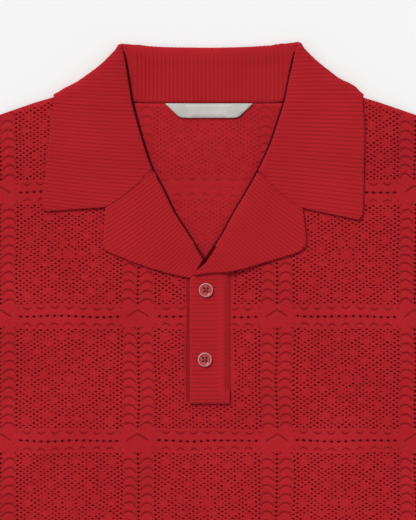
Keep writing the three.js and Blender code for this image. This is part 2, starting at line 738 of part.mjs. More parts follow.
function collarHalf(side) {
  const corner = side.collarFold[side.collarFold.length - 1].up;
  const rows = [];
  for (let i = 0; i < GORGE_ROWS; i += 1) {
    const up = mix(side.notch.up, side.gorgeTop, i / GORGE_ROWS);
    rows.push(collarRowPoints(side, collarRow(side, up, i / GORGE_ROWS)));
  }
  const cornerStart = corner - NECK_CORNER.before;
  for (let i = 0; i < ROLL_ROWS; i += 1) {
    const up = mix(side.gorgeTop + 3 * SEAM_GAP, cornerStart, i / ROLL_ROWS);
    rows.push(collarRowPoints(side, collarRow(side, up, 1)));
  }
  for (let i = 0; i <= CORNER_ROWS; i += 1) {
    const up = cornerStart + (NECK_CORNER.over * i) / CORNER_ROWS;
    rows.push(collarRowPoints(side, collarRow(side, up, 1)));
  }
  return rows;
}

function buildCollar() {
  const left = collarHalf(LEFT);
  const right = collarHalf(RIGHT).reverse();
  const from = left[left.length - 1];
  const to = right[0];
  const rollColumn = STAND_COLUMNS - 1;
  const startX = from[rollColumn].x;
  const endX = to[rollColumn].x;
  const back = [];
  for (let i = 1; i < BACK_ROWS; i += 1) {
    const x = mix(startX, endX, i / BACK_ROWS);
    const straight = backRowPoints(x);
    const fromShare = 1 - ease((x - startX) / NECK_CORNER.blend);
    const toShare = 1 - ease((endX - x) / NECK_CORNER.blend);
    back.push(straight.map((point, j) => {
      const moved = point.clone();
      moved.around = point.around;
      const near = fromShare > 0 ? from[j] : to[j];
      const share = Math.max(fromShare, toShare);
      const slid = near.clone();
      slid.x += x - (fromShare > 0 ? startX : endX);
      moved.lerp(slid, share);
      return moved;
    }));
  }
  const grid = [...left, ...back, ...right];
  const lastRow = grid.length - 1;
  const stations = collarStations(lastRow, left.length);
  const relief = (i, j) => {
    if (i % 2 === 0) return 0;
    const point = grid[i][j];
    const third = FOLD_ARC / 3;
    if (j >= FALL_FIRST - 1) return RIB_RELIEF * (1 - ease((point.around - third) / third));
    const behindNeck = 1 - ease((Math.abs(point.x) - BACK_RIBS_END.x) / BACK_RIBS_END.fade);
    return point.around > FOLD_ARC ? RIB_RELIEF * behindNeck : 0;
  };
  const exists = (i, j) => j >= FALL_FIRST || !(i < GORGE_ROWS || i > lastRow - GORGE_ROWS);
  const present = (i, j) => j >= FALL_FIRST || !(i < GORGE_ROWS || i >= lastRow - GORGE_ROWS);
  return thickened(grid, RIB_CLOTH, { stations, present, exists, relief });
}

// Rows that the collar's plain inner face uses: every fourth one, and closer together
// where the leaf's corner and the neck's corner turn over the shoulder
function collarStations(lastRow, cornerEnd) {
  const fine = (i) => {
    const fromEnd = Math.min(i, lastRow - i);
    const leafCorner = fromEnd > LEAF_CORNER_ROWS.first && fromEnd < LEAF_CORNER_ROWS.last;
    const past = fromEnd - cornerEnd;
    const neckCorner = past > -NECK_CORNER_ROWS.before && past < NECK_CORNER_ROWS.after;
    return leafCorner || (i % 2 === 0 && neckCorner);
  };
  const stations = [];
  for (let i = 0; i <= lastRow; i += 1) {
    if (i % INNER_ROW_STEP === 0 || fine(i)) stations.push(i);
  }
  return stations;
}

// Lapels

const LAPEL_ROWS = 60;
const NECK_POINT_ROW = 52;
const LAPEL_UNDER_COLUMNS = 2;
const LAPEL_TOP_COLUMNS = 4;
const LEAST_RIB = 4;
const ROLLWARD_ROWS = 6;
const SEAM_ROWS = 2;

// Where a rib of the lapel, from its start and in its direction, meets the lapel's edge
function meetEdge(side, start, direction) {
  const edge = [side.notch, ...side.lapelEdge];
  for (let k = 0; k < edge.length - 1; k += 1) {
    const a = edge[k];
    const b = edge[k + 1];
    const run = { out: b.out - a.out, up: b.up - a.up };
    const cross = direction.out * run.up - direction.up * run.out;
    const away = ((a.out - start.out) * run.up - (a.up - start.up) * run.out) / cross;
    const share = ((a.out - start.out) * direction.up - (a.up - start.up) * direction.out) / cross;
    if (away > 0 && share >= -SMALLEST && share <= 1 + SMALLEST) return away;
  }
  return LEAST_RIB;
}

function lapelGrid(side, heightAt) {
  const gorgeLine = { out: side.notch.out - rollBase(side, side.gorgeTop), up: side.notch.up - side.gorgeTop };
  const gorgeTilt = Math.atan2(-gorgeLine.up, gorgeLine.out);
  const grid = [];
  for (let i = 0; i <= LAPEL_ROWS; i += 1) {
    const share = i / NECK_POINT_ROW;
    const up = mix(side.gorgeTop, 0, share);
    const past = Math.max(0, (i - NECK_POINT_ROW) / (LAPEL_ROWS - NECK_POINT_ROW));
    const roll = { out: rollBase(side, Math.max(up, 0)), up: Math.max(up, 0) };
    const start = { out: mix(roll.out, side.lapelEnd.out, past), up: mix(roll.up, side.lapelEnd.up, past) };
    const settle = ease(share * LAPEL_SETTLE);
    const tilt = mix(gorgeTilt, LAPEL_RIB_TILT, settle);
    const direction = { out: Math.cos(tilt), up: -Math.sin(tilt) };
    const square = { out: direction.up, up: -direction.out };
    const length = i === 0 ? Math.hypot(gorgeLine.out, gorgeLine.up) : meetEdge(side, start, direction);
    const row = [];
    const rollward = mix(0, direction.up, ease(i / ROLLWARD_ROWS));
    const place = (away, level, pushed = 0) => {
      const bow = (1 - settle) * side.gorgeSag * 4 * clamp01(away / length) * (1 - clamp01(away / length));
      const seam = (SEAM_GAP / 2) * (1 - clamp01(i / SEAM_ROWS));
      const shift = bow + seam;
      const out = start.out + direction.out * (away - pushed) + square.out * shift;
      const high = start.up + direction.up * away - rollward * pushed + square.up * shift;
      const point = new THREE.Vector3(side.sign * out, high, 0);
      point.z = heightAt(point.x, point.y, level, away);
      row.push(point);
    };
    for (let j = LAPEL_UNDER_COLUMNS - 1; j >= 0; j -= 1) place(LAPEL_UNDER * j, 0);
    for (const turn of ROLL_TURNS) place(0, (1 - Math.cos(turn)) / 2, ROLL_REACH * Math.sin(turn));
    for (let j = 0; j < LAPEL_TOP_COLUMNS; j += 1) place((length * j) / (LAPEL_TOP_COLUMNS - 1), 1);
    grid.push(row);
  }
  return grid;
}

function buildLapel(side) {
  const onTop = side === RIGHT;
  const heightAt = (x, up, level, away) => {
    const rise = ROLL_RISE * Math.exp(-away / ROLL_FADE);
    const over = onTop ? crossing(x, up) : 0;
    const under = frontTop(x, up) - RIB_CLOTH / 2 + over * CROSSING.underShare;
    const top = frontTop(x, up) + LAYER_GAP + RIB_CLOTH / 2 + rise + over;
    return mix(under, top, level);
  };
  const grid = lapelGrid(side, heightAt);
  const firstTop = LAPEL_UNDER_COLUMNS + ROLL_TURNS.length;
  const stations = grid.map((_, i) => i).filter((i) => i % INNER_ROW_STEP === 0);
  const present = (i, j) => j >= firstTop || i < side.lapelUnderRows;
  const exists = (i, j) => j >= firstTop || i <= side.lapelUnderRows;
  const relief = (i, j) => (i % 2 === 1 && j >= firstTop - 1 ? RIB_RELIEF : 0);
  return thickened(grid, RIB_CLOTH, { stations, present, exists, relief, outward: side.sign });
}

// Placket bands

const PLACKET_RIBS = 32;

function buildPlacketUpper() {
  const columns = [PLACKET_LEFT, 0, PLACKET_RIB_END, PLACKET_STEP, PLACKET_RIGHT];
  const rows = PLACKET_RIBS * 2;
  const grid = [];
  for (let i = 0; i <= rows; i += 1) {
    const up = mix(PLACKET_BOTTOM, PLACKET_TOP, i / rows);
    const cutOff = Math.max(0, up - PLACKET_TUCK.up) * PLACKET_TUCK.slope;
    const turned = PLACKET_TUCK.width * ease((up - PLACKET_TUCK.from) / PLACKET_TUCK.over);
    const tuck = Math.max(PLACKET_LEFT, cutOff + PLACKET_LEFT + turned);
    grid.push(columns.map((x, j) => {
      const place = j === 0 ? tuck : x;
      const high = frontTop(place, up) + LAYER_GAP + RIB_CLOTH / 2;
      const low = frontTop(place, up) - RIB_CLOTH / 2;
      const past = place - PLACKET_RIB_END + PLACKET_SINK.before;
      const down = ease(past / (PLACKET_RIGHT - PLACKET_RIB_END));
      const sunk = down * clamp01((up - SLIT.bottom - PLACKET_SINK.up) / PLACKET_SINK.over);
      return new THREE.Vector3(place, up, mix(high, low, sunk));
    }));
  }
  const stations = grid.map((_, i) => i).filter((i) => i % INNER_ROW_STEP === 0);
  const relief = (i, j) => (i % 2 === 1 && j <= 2 ? RIB_RELIEF : 0);
  return thickened(grid, RIB_CLOTH, { stations, relief, outward: -1 });
}

function buildPlacketUnder() {
  const left = SEAM_GAP - SLIT.left;
  const columns = [left, ...UNDER_BAND_COLUMNS];
  const point = (x, up) => new THREE.Vector3(x, up, frontTop(x, up) - RIB_CLOTH / 2);
  const grid = UNDER_BAND_ROWS.map((up) => columns.map((x) => point(x, up)));
  return thickened(grid, RIB_CLOTH, { stations: grid.map((_, i) => i), outward: -1 });
}

// A turned button with a rim, a dish and four holes
function buildButton() {
  const { radius, thick, rim, dish, hole, holeSpread } = BUTTON;
  const corners = BUTTON_CORNERS;
  const profile = [
    [0, 0],
    [radius - corners.under, 0],
    [radius, corners.under],
    [radius, thick - corners.top],
    [radius - corners.top, thick],
    [radius - rim, thick],
    [radius - rim - corners.dish, thick - dish],
    [0, thick - dish],
  ].map(([x, y]) => new THREE.Vector2(x, y));
  const body = new THREE.LatheGeometry(profile, BUTTON_SIDES).rotateX(Math.PI / 2);
  const drill = new THREE.CylinderGeometry(hole, hole, 3 * thick, HOLE_SIDES).rotateX(Math.PI / 2);
  let solid = toManifold(body);
  for (const [x, y] of [[-1, -1], [1, -1], [-1, 1], [1, 1]]) {
    const place = drill.clone().translate(x * holeSpread, y * holeSpread, 0);
    solid = solid.subtract(toManifold(place));
  }
  return fromManifold(solid);
}

function toManifold(source) {
  const bare = source.clone();
  bare.deleteAttribute('normal');
  bare.deleteAttribute('uv');
  const merged = mergeVertices(bare, SAME_POINT);
  return new wasm.Manifold(new wasm.Mesh({
    numProp: 3,
    vertProperties: new Float32Array(merged.attributes.position.array),
    triVerts: new Uint32Array(merged.index.array),
  }));
}

function fromManifold(solid) {
  const mesh = solid.getMesh();
  const geometry = new THREE.BufferGeometry();
  geometry.setAttribute('position', new THREE.BufferAttribute(mesh.vertProperties, 3));
  geometry.setIndex(new THREE.BufferAttribute(mesh.triVerts, 1));
  geometry.computeVertexNormals();
  return geometry;
}

// The blank neck label, its ends folded to a slant
function buildLabel() {
  const { top, bottom, topLeft, topRight, endCut, thick } = LABEL;
  const outline = new THREE.Shape([
    new THREE.Vector2(topLeft, top),
    new THREE.Vector2(topLeft + endCut, bottom),
    new THREE.Vector2(topRight - endCut, bottom),
    new THREE.Vector2(topRight, top),
  ]);
  return new THREE.ExtrudeGeometry(outline, { depth: thick, bevelEnabled: false });
}

// The shirt

const garment = new THREE.Group();

function addPiece(name, geometry, finish, z = 0, x = 0, up = 0) {
  const mesh = new THREE.Mesh(geometry, new THREE.MeshStandardMaterial(finish));
  mesh.name = name;
  mesh.position.set(x, up, z);
  garment.add(mesh);
}

addPiece('back', buildBack(), KNIT_RED);
addPiece('front', buildFront(), KNIT_RED);
addPiece('sleeve_left', buildSleeve(-1), KNIT_RED);
addPiece('sleeve_right', buildSleeve(1), KNIT_RED);
addPiece('collar', buildCollar(), RIB_RED);
addPiece('lapel_left', buildLapel(LEFT), RIB_RED);
addPiece('lapel_right', buildLapel(RIGHT), RIB_RED);
addPiece('placket_upper', buildPlacketUpper(), RIB_RED);
addPiece('placket_under', buildPlacketUnder(), RIB_RED);

const placketFace = LAYER_GAP + RIB_CLOTH + RIB_RELIEF;
for (const [name, { x, up }] of Object.entries(BUTTON_PLACES)) {
  const seat = frontTop(x, up) + placketFace + SEAM_GAP;
  addPiece(`button_${name}`, buildButton(), BUTTON_RESIN, seat, x, up);
}
const backTop = lift(0, LABEL.top) + BODY_CLOTH;
addPiece('label', buildLabel(), LABEL_SATIN, backTop + SEAM_GAP);

// The origin is the middle of the flat underside
const bounds = new THREE.Box3().setFromObject(garment);
const middle = bounds.getCenter(new THREE.Vector3());
garment.position.set(-middle.x, -middle.y, -bounds.min.z);

const part = new THREE.Group();
part.add(garment);
part.updateMatrixWorld(true);

export default part;
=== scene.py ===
# %% [markdown]
# # A knitted polo shirt, laid flat
# The shirt lies on its back and is seen from straight above. Its body is an openwork knit whose
# eyelets are made by the stitches themselves, and its collar, lapels and placket are a firmer rib.
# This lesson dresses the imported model: each plain panel gets real eyelets, each rib trim gets
# rounded ribs, and every yarn, resin and satin gets a material built from nodes.

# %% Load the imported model
import json
import math
import bmesh
import bpy
import numpy as np
from mathutils import Vector
from mathutils.bvhtree import BVHTree
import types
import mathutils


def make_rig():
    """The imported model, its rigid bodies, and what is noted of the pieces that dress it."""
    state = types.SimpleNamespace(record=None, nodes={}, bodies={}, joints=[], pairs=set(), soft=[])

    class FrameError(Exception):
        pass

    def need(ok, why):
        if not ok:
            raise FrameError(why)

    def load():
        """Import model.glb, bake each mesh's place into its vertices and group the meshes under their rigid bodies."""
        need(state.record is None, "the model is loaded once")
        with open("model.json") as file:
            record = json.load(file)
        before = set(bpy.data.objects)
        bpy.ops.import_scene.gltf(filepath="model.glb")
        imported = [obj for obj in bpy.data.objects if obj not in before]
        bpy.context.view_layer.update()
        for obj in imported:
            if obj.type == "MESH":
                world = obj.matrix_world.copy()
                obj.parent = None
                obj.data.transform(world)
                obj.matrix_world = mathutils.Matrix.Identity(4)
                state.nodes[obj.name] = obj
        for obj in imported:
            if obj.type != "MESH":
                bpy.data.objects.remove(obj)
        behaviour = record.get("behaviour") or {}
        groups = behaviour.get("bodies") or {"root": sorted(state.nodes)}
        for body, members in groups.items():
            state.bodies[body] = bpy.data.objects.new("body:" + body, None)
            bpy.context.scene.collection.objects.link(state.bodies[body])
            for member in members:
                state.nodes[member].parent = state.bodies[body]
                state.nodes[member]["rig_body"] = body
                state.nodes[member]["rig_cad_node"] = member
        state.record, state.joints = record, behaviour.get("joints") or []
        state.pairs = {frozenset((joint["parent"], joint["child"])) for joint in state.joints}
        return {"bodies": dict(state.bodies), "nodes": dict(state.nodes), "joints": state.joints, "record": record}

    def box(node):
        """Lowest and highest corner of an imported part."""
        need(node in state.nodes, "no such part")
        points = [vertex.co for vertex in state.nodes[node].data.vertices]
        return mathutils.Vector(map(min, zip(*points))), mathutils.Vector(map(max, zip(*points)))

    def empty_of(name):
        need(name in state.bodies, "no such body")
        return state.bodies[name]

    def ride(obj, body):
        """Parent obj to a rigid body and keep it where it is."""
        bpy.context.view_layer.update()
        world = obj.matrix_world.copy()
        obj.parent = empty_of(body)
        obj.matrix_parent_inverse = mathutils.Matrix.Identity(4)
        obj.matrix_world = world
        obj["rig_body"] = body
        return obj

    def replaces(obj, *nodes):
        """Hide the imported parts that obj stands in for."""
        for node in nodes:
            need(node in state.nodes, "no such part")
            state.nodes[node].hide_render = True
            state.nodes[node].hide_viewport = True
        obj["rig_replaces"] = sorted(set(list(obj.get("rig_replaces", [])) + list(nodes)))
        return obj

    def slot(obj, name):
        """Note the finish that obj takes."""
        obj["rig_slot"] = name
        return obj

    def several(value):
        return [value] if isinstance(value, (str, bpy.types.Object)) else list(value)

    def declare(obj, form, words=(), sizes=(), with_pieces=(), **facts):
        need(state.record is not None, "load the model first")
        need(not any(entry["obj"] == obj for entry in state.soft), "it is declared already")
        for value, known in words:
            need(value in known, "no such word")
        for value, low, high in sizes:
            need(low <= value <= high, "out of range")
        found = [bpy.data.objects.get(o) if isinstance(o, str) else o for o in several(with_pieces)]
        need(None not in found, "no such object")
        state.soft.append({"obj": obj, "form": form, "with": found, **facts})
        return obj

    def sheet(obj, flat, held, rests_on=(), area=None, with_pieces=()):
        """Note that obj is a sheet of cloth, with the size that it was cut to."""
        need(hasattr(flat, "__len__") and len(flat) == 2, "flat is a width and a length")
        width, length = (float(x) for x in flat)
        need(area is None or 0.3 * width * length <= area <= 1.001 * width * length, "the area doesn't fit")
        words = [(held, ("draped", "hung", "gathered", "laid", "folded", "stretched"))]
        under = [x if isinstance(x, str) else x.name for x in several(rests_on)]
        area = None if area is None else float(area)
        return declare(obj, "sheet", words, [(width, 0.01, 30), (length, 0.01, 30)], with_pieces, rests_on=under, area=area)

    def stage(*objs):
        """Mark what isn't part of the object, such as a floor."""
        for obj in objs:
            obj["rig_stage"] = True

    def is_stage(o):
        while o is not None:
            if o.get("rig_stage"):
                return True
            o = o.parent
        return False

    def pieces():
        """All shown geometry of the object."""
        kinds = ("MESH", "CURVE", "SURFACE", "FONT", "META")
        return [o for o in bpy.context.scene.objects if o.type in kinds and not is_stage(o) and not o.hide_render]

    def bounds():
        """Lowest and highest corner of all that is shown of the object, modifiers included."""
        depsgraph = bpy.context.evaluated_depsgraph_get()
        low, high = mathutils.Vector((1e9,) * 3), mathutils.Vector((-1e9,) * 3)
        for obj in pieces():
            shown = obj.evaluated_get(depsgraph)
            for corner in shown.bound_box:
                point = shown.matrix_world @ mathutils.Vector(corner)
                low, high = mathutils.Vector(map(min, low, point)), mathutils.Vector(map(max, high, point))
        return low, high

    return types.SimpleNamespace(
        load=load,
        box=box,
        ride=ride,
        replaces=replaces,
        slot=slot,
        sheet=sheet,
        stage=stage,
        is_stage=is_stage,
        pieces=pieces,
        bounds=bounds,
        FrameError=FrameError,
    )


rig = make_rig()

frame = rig.load()
cad_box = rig.bounds()
MM = 0.001
print("nodes:", sorted(frame["nodes"]))

# %% [markdown]
# ## Colours and nodes
# Dye and resin colours are given as screen hex values, but the renderer adds light in
# linear numbers. One function turns the first into the second. Another turns the real size of a
# pattern into a texture's scale, which counts how many times the pattern fits in a metre. Materials
# are trees of nodes, and one helper that adds a node with its settings and links keeps each tree
# short to read.

# %% Colour and node helpers
def linear(hex_colour):
    """An sRGB hex colour as the linear red, green, blue and alpha that a socket takes."""
    shares = [int(hex_colour[i:i + 2], 16) / 255 for i in (1, 3, 5)]
    return tuple(s / 12.92 if s <= 0.04045 else ((s + 0.055) / 1.055) ** 2.4 for s in shares) + (1,)


def scale_for(size):
    """The scale that gives a noise or a cell texture this size, in millimetres."""
    return 1 / (size * MM)


def add(tree, kind, settings=None, inputs=None):
    """Add a node. settings are its own options. An input is a number, a socket, or a node, which
    is linked from its first output."""
    node = tree.nodes.new(kind)
    for name, value in (settings or {}).items():
        setattr(node, name, value)
    for name, value in (inputs or {}).items():
        if isinstance(value, bpy.types.Node):
            value = value.outputs[0]
        if isinstance(value, bpy.types.NodeSocket):
            tree.links.new(value, node.inputs[name])
        else:
            node.inputs[name].default_value = value
    return node


def new_material(name):
    """An empty node material with its output, and the tree to build in."""
    material = bpy.data.materials.new(name)
    material.use_nodes = True
    tree = material.node_tree
    tree.nodes.clear()
    return material, tree


def add_object(name, data):
    """A new object in the scene from a mesh, a lamp or a camera."""
    thing = bpy.data.objects.new(name, data)
    bpy.context.scene.collection.objects.link(thing)
    return thing


print("linear red:", [round(c, 3) for c in linear("#A4212A")[:3]])

# %% [markdown]
# ## Cotton and viscose knit yarn
# The yarn is a soft matt cotton and viscose blend, dyed in the piece. To the eye it has no hard
# highlight, only a faint sheen at grazing angles from loose fibres, so the roughness is high and
# a little sheen is added. Plain knitting shows as columns of V shapes: each column, or wale, is
# 1.56 mm wide and each row of stitches, or course, is 1.00 mm high. The V shapes are a height
# pattern made with a few sums, and they are driven by a UV map that counts wales and courses. The
# next sums sink the lines of the openwork chart and the cloth round each eyelet, and the same sums
# set a painted shade there. Single fibres are far too fine to show in the picture, so the fuzz and
# the heathered flecks are drawn nearly as coarse as a stitch.

# %% Sizes of the stitches and the chart's lines
# one repeat of the openwork chart, and its cell, which is two wales wide and two courses high
REPEAT = {"wide": 124.74 * MM, "high": 112.0 * MM, "columns": 40, "rows": 56}
CELL = (REPEAT["wide"] / REPEAT["columns"], REPEAT["high"] / REPEAT["rows"])
WALE = CELL[0] / 2
COURSE = CELL[1] / 2
# the chart's lines, in cells from a crossing of its bands, and where a wave of scallops breaks off
ARCH = {"middle": 2.7, "reach": 1.95, "bend": 0.5, "every": 4, "half_line": 0.85, "from_row": 5.2}
SCALLOP = {"row": 3.9, "swing": 0.7, "every": 4, "half_line": 0.8, "from_column": 4.8,
           "faint": -0.9, "full": 0.3, "sinks": -0.3}
ROOF = {"top": 2.7, "slope": 0.95, "reach": 3.1, "half_line": 0.8}
print("wale and course, mm:", round(WALE / MM, 2), round(COURSE / MM, 2))

# %% Height of plain stitches
LEG_LEAN = 1.3
WALE_GROOVE = {"sharpness": 2.5, "depth": -6.0}


def plain_stitches(tree, wales, courses):
    """Height of plain knitting: two leaning legs to a wale, with a groove between wales."""
    wale = add(tree, "ShaderNodeMath", {"operation": "FRACT"}, {0: wales})
    side = add(tree, "ShaderNodeMath", {"operation": "SUBTRACT"}, {0: wale, 1: 0.5})
    away = add(tree, "ShaderNodeMath", {"operation": "ABSOLUTE"}, {0: side})
    lean = add(tree, "ShaderNodeMath", {"operation": "MULTIPLY_ADD"},
               {0: away, 1: LEG_LEAN, 2: courses})
    turn = add(tree, "ShaderNodeMath", {"operation": "MULTIPLY"}, {0: lean, 1: 2 * math.pi})
    leg = add(tree, "ShaderNodeMath", {"operation": "SINE"}, {0: turn})
    groove = add(tree, "ShaderNodeMath", {"operation": "POWER"}, {0: away, 1: WALE_GROOVE["sharpness"]})
    return add(tree, "ShaderNodeMath", {"operation": "MULTIPLY_ADD"},
               {0: groove, 1: WALE_GROOVE["depth"], 2: leg})


def soft_line(tree, off, half, mask):
    """A line, 1 in its middle and 0 at its edge, from the distance off it, where mask is 1."""
    away = add(tree, "ShaderNodeMath", {"operation": "ABSOLUTE"}, {0: off})
    line = add(tree, "ShaderNodeMapRange", {"interpolation_type": "SMOOTHSTEP"},
               {"Value": away, "From Min": 0.0, "From Max": half, "To Min": 1.0, "To Max": 0.0})
    return add(tree, "ShaderNodeMath", {"operation": "MULTIPLY"},
               {0: line, 1: mask})


print("a wale's groove, in stitch heights:", WALE_GROOVE["depth"])

# %% Hollows of the chart
LINE_SHADE = 0.85


def chart_hollows(tree, wales, courses):
    """Where the chart sinks, and so where painted shade goes: round each eyelet, and along its arches, scallops and
    roofs.
    """
    column = add(tree, "ShaderNodeMath", {"operation": "MULTIPLY_ADD"}, {0: wales, 1: 0.5, 2: -0.5})
    row = add(tree, "ShaderNodeMath", {"operation": "MULTIPLY_ADD"}, {0: courses, 1: 0.5, 2: -0.5})
    across = add(tree, "ShaderNodeMath", {"operation": "WRAP"},
                 {0: column, 1: REPEAT["columns"] / 2, 2: -REPEAT["columns"] / 2})
    side = add(tree, "ShaderNodeMath", {"operation": "ABSOLUTE"}, {0: across})
    up = add(tree, "ShaderNodeMath", {"operation": "WRAP"},
             {0: row, 1: REPEAT["rows"] / 2, 2: -REPEAT["rows"] / 2})
    level = add(tree, "ShaderNodeMath", {"operation": "ABSOLUTE"}, {0: up})
    # arches stand in two columns, one on each side of the eyelet column
    from_arch = add(tree, "ShaderNodeMath", {"operation": "SUBTRACT"}, {0: side, 1: ARCH["middle"]})
    bend = add(tree, "ShaderNodeMath", {"operation": "MULTIPLY"}, {0: from_arch, 1: from_arch})
    arch_row = add(tree, "ShaderNodeMath", {"operation": "MULTIPLY_ADD"},
                   {0: bend, 1: ARCH["bend"], 2: row})
    off_arch = add(tree, "ShaderNodeMath", {"operation": "WRAP"},
                   {0: arch_row, 1: ARCH["every"] / 2, 2: -ARCH["every"] / 2})
    arch_far = add(tree, "ShaderNodeMath", {"operation": "ABSOLUTE"}, {0: from_arch})
    near_arch = add(tree, "ShaderNodeMath", {"operation": "LESS_THAN"}, {0: arch_far, 1: ARCH["reach"]})
    upright = add(tree, "ShaderNodeMath", {"operation": "GREATER_THAN"}, {0: level, 1: ARCH["from_row"]})
    arch_mask = add(tree, "ShaderNodeMath", {"operation": "MULTIPLY"}, {0: near_arch, 1: upright})
    arches = soft_line(tree, off_arch, ARCH["half_line"], arch_mask)
    # scallops run above and below the dotted row
    phase = add(tree, "ShaderNodeMath", {"operation": "MULTIPLY"},
                {0: column, 1: 2 * math.pi / SCALLOP["every"]})
    wave = add(tree, "ShaderNodeMath", {"operation": "COSINE"}, {0: phase})
    off_level = add(tree, "ShaderNodeMath", {"operation": "SUBTRACT"}, {0: level, 1: SCALLOP["row"]})
    off_scallop = add(tree, "ShaderNodeMath", {"operation": "MULTIPLY_ADD"},
                      {0: wave, 1: SCALLOP["swing"], 2: off_level})
    broken = add(tree, "ShaderNodeMapRange", None,
                 {"Value": wave, "From Min": SCALLOP["faint"], "From Max": SCALLOP["full"]})
    beside = add(tree, "ShaderNodeMath", {"operation": "GREATER_THAN"},
                 {0: side, 1: SCALLOP["from_column"]})
    scallop_mask = add(tree, "ShaderNodeMath", {"operation": "MULTIPLY"},
                       {0: broken, 1: beside})
    scallops = soft_line(tree, off_scallop, SCALLOP["half_line"], scallop_mask)
    # a roof of two slanting lines stands over each crossing
    roof_up = add(tree, "ShaderNodeMath", {"operation": "SUBTRACT"}, {0: up, 1: ROOF["top"]})
    off_roof = add(tree, "ShaderNodeMath", {"operation": "MULTIPLY_ADD"},
                   {0: side, 1: ROOF["slope"], 2: roof_up})
    near_roof = add(tree, "ShaderNodeMath", {"operation": "LESS_THAN"}, {0: side, 1: ROOF["reach"]})
    roofs = soft_line(tree, off_roof, ROOF["half_line"], near_roof)
    lines = add(tree, "ShaderNodeMath", {"operation": "ADD"}, {0: arches, 1: scallops})
    lines = add(tree, "ShaderNodeMath", {"operation": "ADD"}, {0: lines, 1: roofs})
    lines = add(tree, "ShaderNodeMath", {"operation": "MULTIPLY"}, {0: lines, 1: LINE_SHADE})
    # every second cell of a pane is an eyelet, so two cosines sink round each of them, which also sets a painted shade
    # there
    column_turn = add(tree, "ShaderNodeMath", {"operation": "MULTIPLY"}, {0: column, 1: math.pi})
    row_turn = add(tree, "ShaderNodeMath", {"operation": "MULTIPLY"}, {0: row, 1: math.pi})
    column_wave = add(tree, "ShaderNodeMath", {"operation": "COSINE"}, {0: column_turn})
    row_wave = add(tree, "ShaderNodeMath", {"operation": "COSINE"}, {0: row_turn})
    both = add(tree, "ShaderNodeMath", {"operation": "MULTIPLY"}, {0: column_wave, 1: row_wave})
    pane = add(tree, "ShaderNodeAttribute", {"attribute_name": "pane"})
    eyelet = add(tree, "ShaderNodeMath", {"operation": "MULTIPLY"}, {0: both, 1: pane.outputs["Fac"]})
    charted = add(tree, "ShaderNodeAttribute", {"attribute_name": "charted"})
    lines = add(tree, "ShaderNodeMath", {"operation": "MULTIPLY"}, {0: lines, 1: charted.outputs["Fac"]})
    return add(tree, "ShaderNodeMath", {"operation": "ADD"}, {0: lines, 1: eyelet})


print("chart lines are shaded by:", LINE_SHADE)

# %% Yarn shader
FLECK_SHARE = 0.55


def yarn_shader(name, light, dark, hollow_colour, hollow, height, depth):
    """A dyed matt yarn. Its colour changes slowly, is heathered, and has shade painted into its hollows."""
    material = bpy.data.materials[name]
    tree = material.node_tree
    place = add(tree, "ShaderNodeTexCoord").outputs["Object"]
    slow = add(tree, "ShaderNodeTexNoise", None, {"Vector": place, "Scale": scale_for(71.4), "Detail": 3.0})
    fine = add(tree, "ShaderNodeTexNoise", None, {"Vector": place, "Scale": scale_for(1.11), "Detail": 2.0})
    both = add(tree, "ShaderNodeMath", {"operation": "MULTIPLY_ADD"},
               {0: fine.outputs["Fac"], 1: FLECK_SHARE, 2: slow.outputs["Fac"]})
    tone = add(tree, "ShaderNodeMapRange", None,
               {"Value": both, "From Min": 0.5, "From Max": 1.05})
    base = add(tree, "ShaderNodeMix", {"data_type": "RGBA"},
               {0: tone, 6: linear(dark), 7: linear(light)})
    # painted shade: the colour is mixed towards a deep red where the hollows and grooves lie
    colour = add(tree, "ShaderNodeMix", {"data_type": "RGBA"},
                 {0: hollow, 6: base.outputs[2], 7: linear(hollow_colour)})
    fuzz = add(tree, "ShaderNodeTexNoise", None, {"Vector": place, "Scale": scale_for(0.667), "Detail": 3.0})
    relief = add(tree, "ShaderNodeMath", {"operation": "ADD"}, {0: fuzz.outputs["Fac"], 1: height})
    bump = add(tree, "ShaderNodeBump", None, {"Height": relief, "Strength": 0.8, "Distance": depth})
    shade = add(tree, "ShaderNodeBsdfPrincipled", None, {
        "Base Color": colour.outputs[2],
        "Roughness": 0.9,
        "IOR": 1.5,
        "Specular IOR Level": 0.1,
        "Sheen Weight": 0.03,
        "Sheen Roughness": 0.5,
        "Normal": bump,
    })
    add(tree, "ShaderNodeOutputMaterial", None, {"Surface": shade})
    return material


print("share of the flecks in the colour:", FLECK_SHARE)

# %% Knit yarn materials
HOLLOW_DEPTH = -1.6
STITCH_HEIGHT = 0.5
RIB_RELIEF = 0.8
RIB_ROUNDNESS = 0.55


def openwork_material(name):
    """Yarn knitted to the chart, driven by a UV map that counts wales and courses, with painted shade in the chart's
    hollows and round lone eyelets.
    """
    tree = new_material(name)[1]
    uv = add(tree, "ShaderNodeUVMap", {"uv_map": "stitches"})
    counts = add(tree, "ShaderNodeSeparateXYZ", None, {0: uv.outputs["UV"]})
    wales, courses = counts.outputs["X"], counts.outputs["Y"]
    stitches = plain_stitches(tree, wales, courses)
    hollows = chart_hollows(tree, wales, courses)
    height = add(tree, "ShaderNodeMath", {"operation": "MULTIPLY_ADD"},
                 {0: hollows, 1: HOLLOW_DEPTH, 2: stitches})
    raised = add(tree, "ShaderNodeMath", {"operation": "MULTIPLY"}, {0: height, 1: STITCH_HEIGHT})
    # painted shade: the chart's hollows and the rims of lone eyelets darken the colour towards a deep red
    rim = add(tree, "ShaderNodeAttribute", {"attribute_name": "rim"})
    shadow = add(tree, "ShaderNodeMath", {"operation": "MAXIMUM"}, {0: hollows, 1: rim.outputs["Fac"]})
    dark = add(tree, "ShaderNodeMapRange", None, {"Value": shadow, "To Max": 0.75})
    return yarn_shader(name, light="#C9252F", dark="#BA1F29", hollow_colour="#5A0810",
                       hollow=dark, height=raised, depth=0.4 * MM)


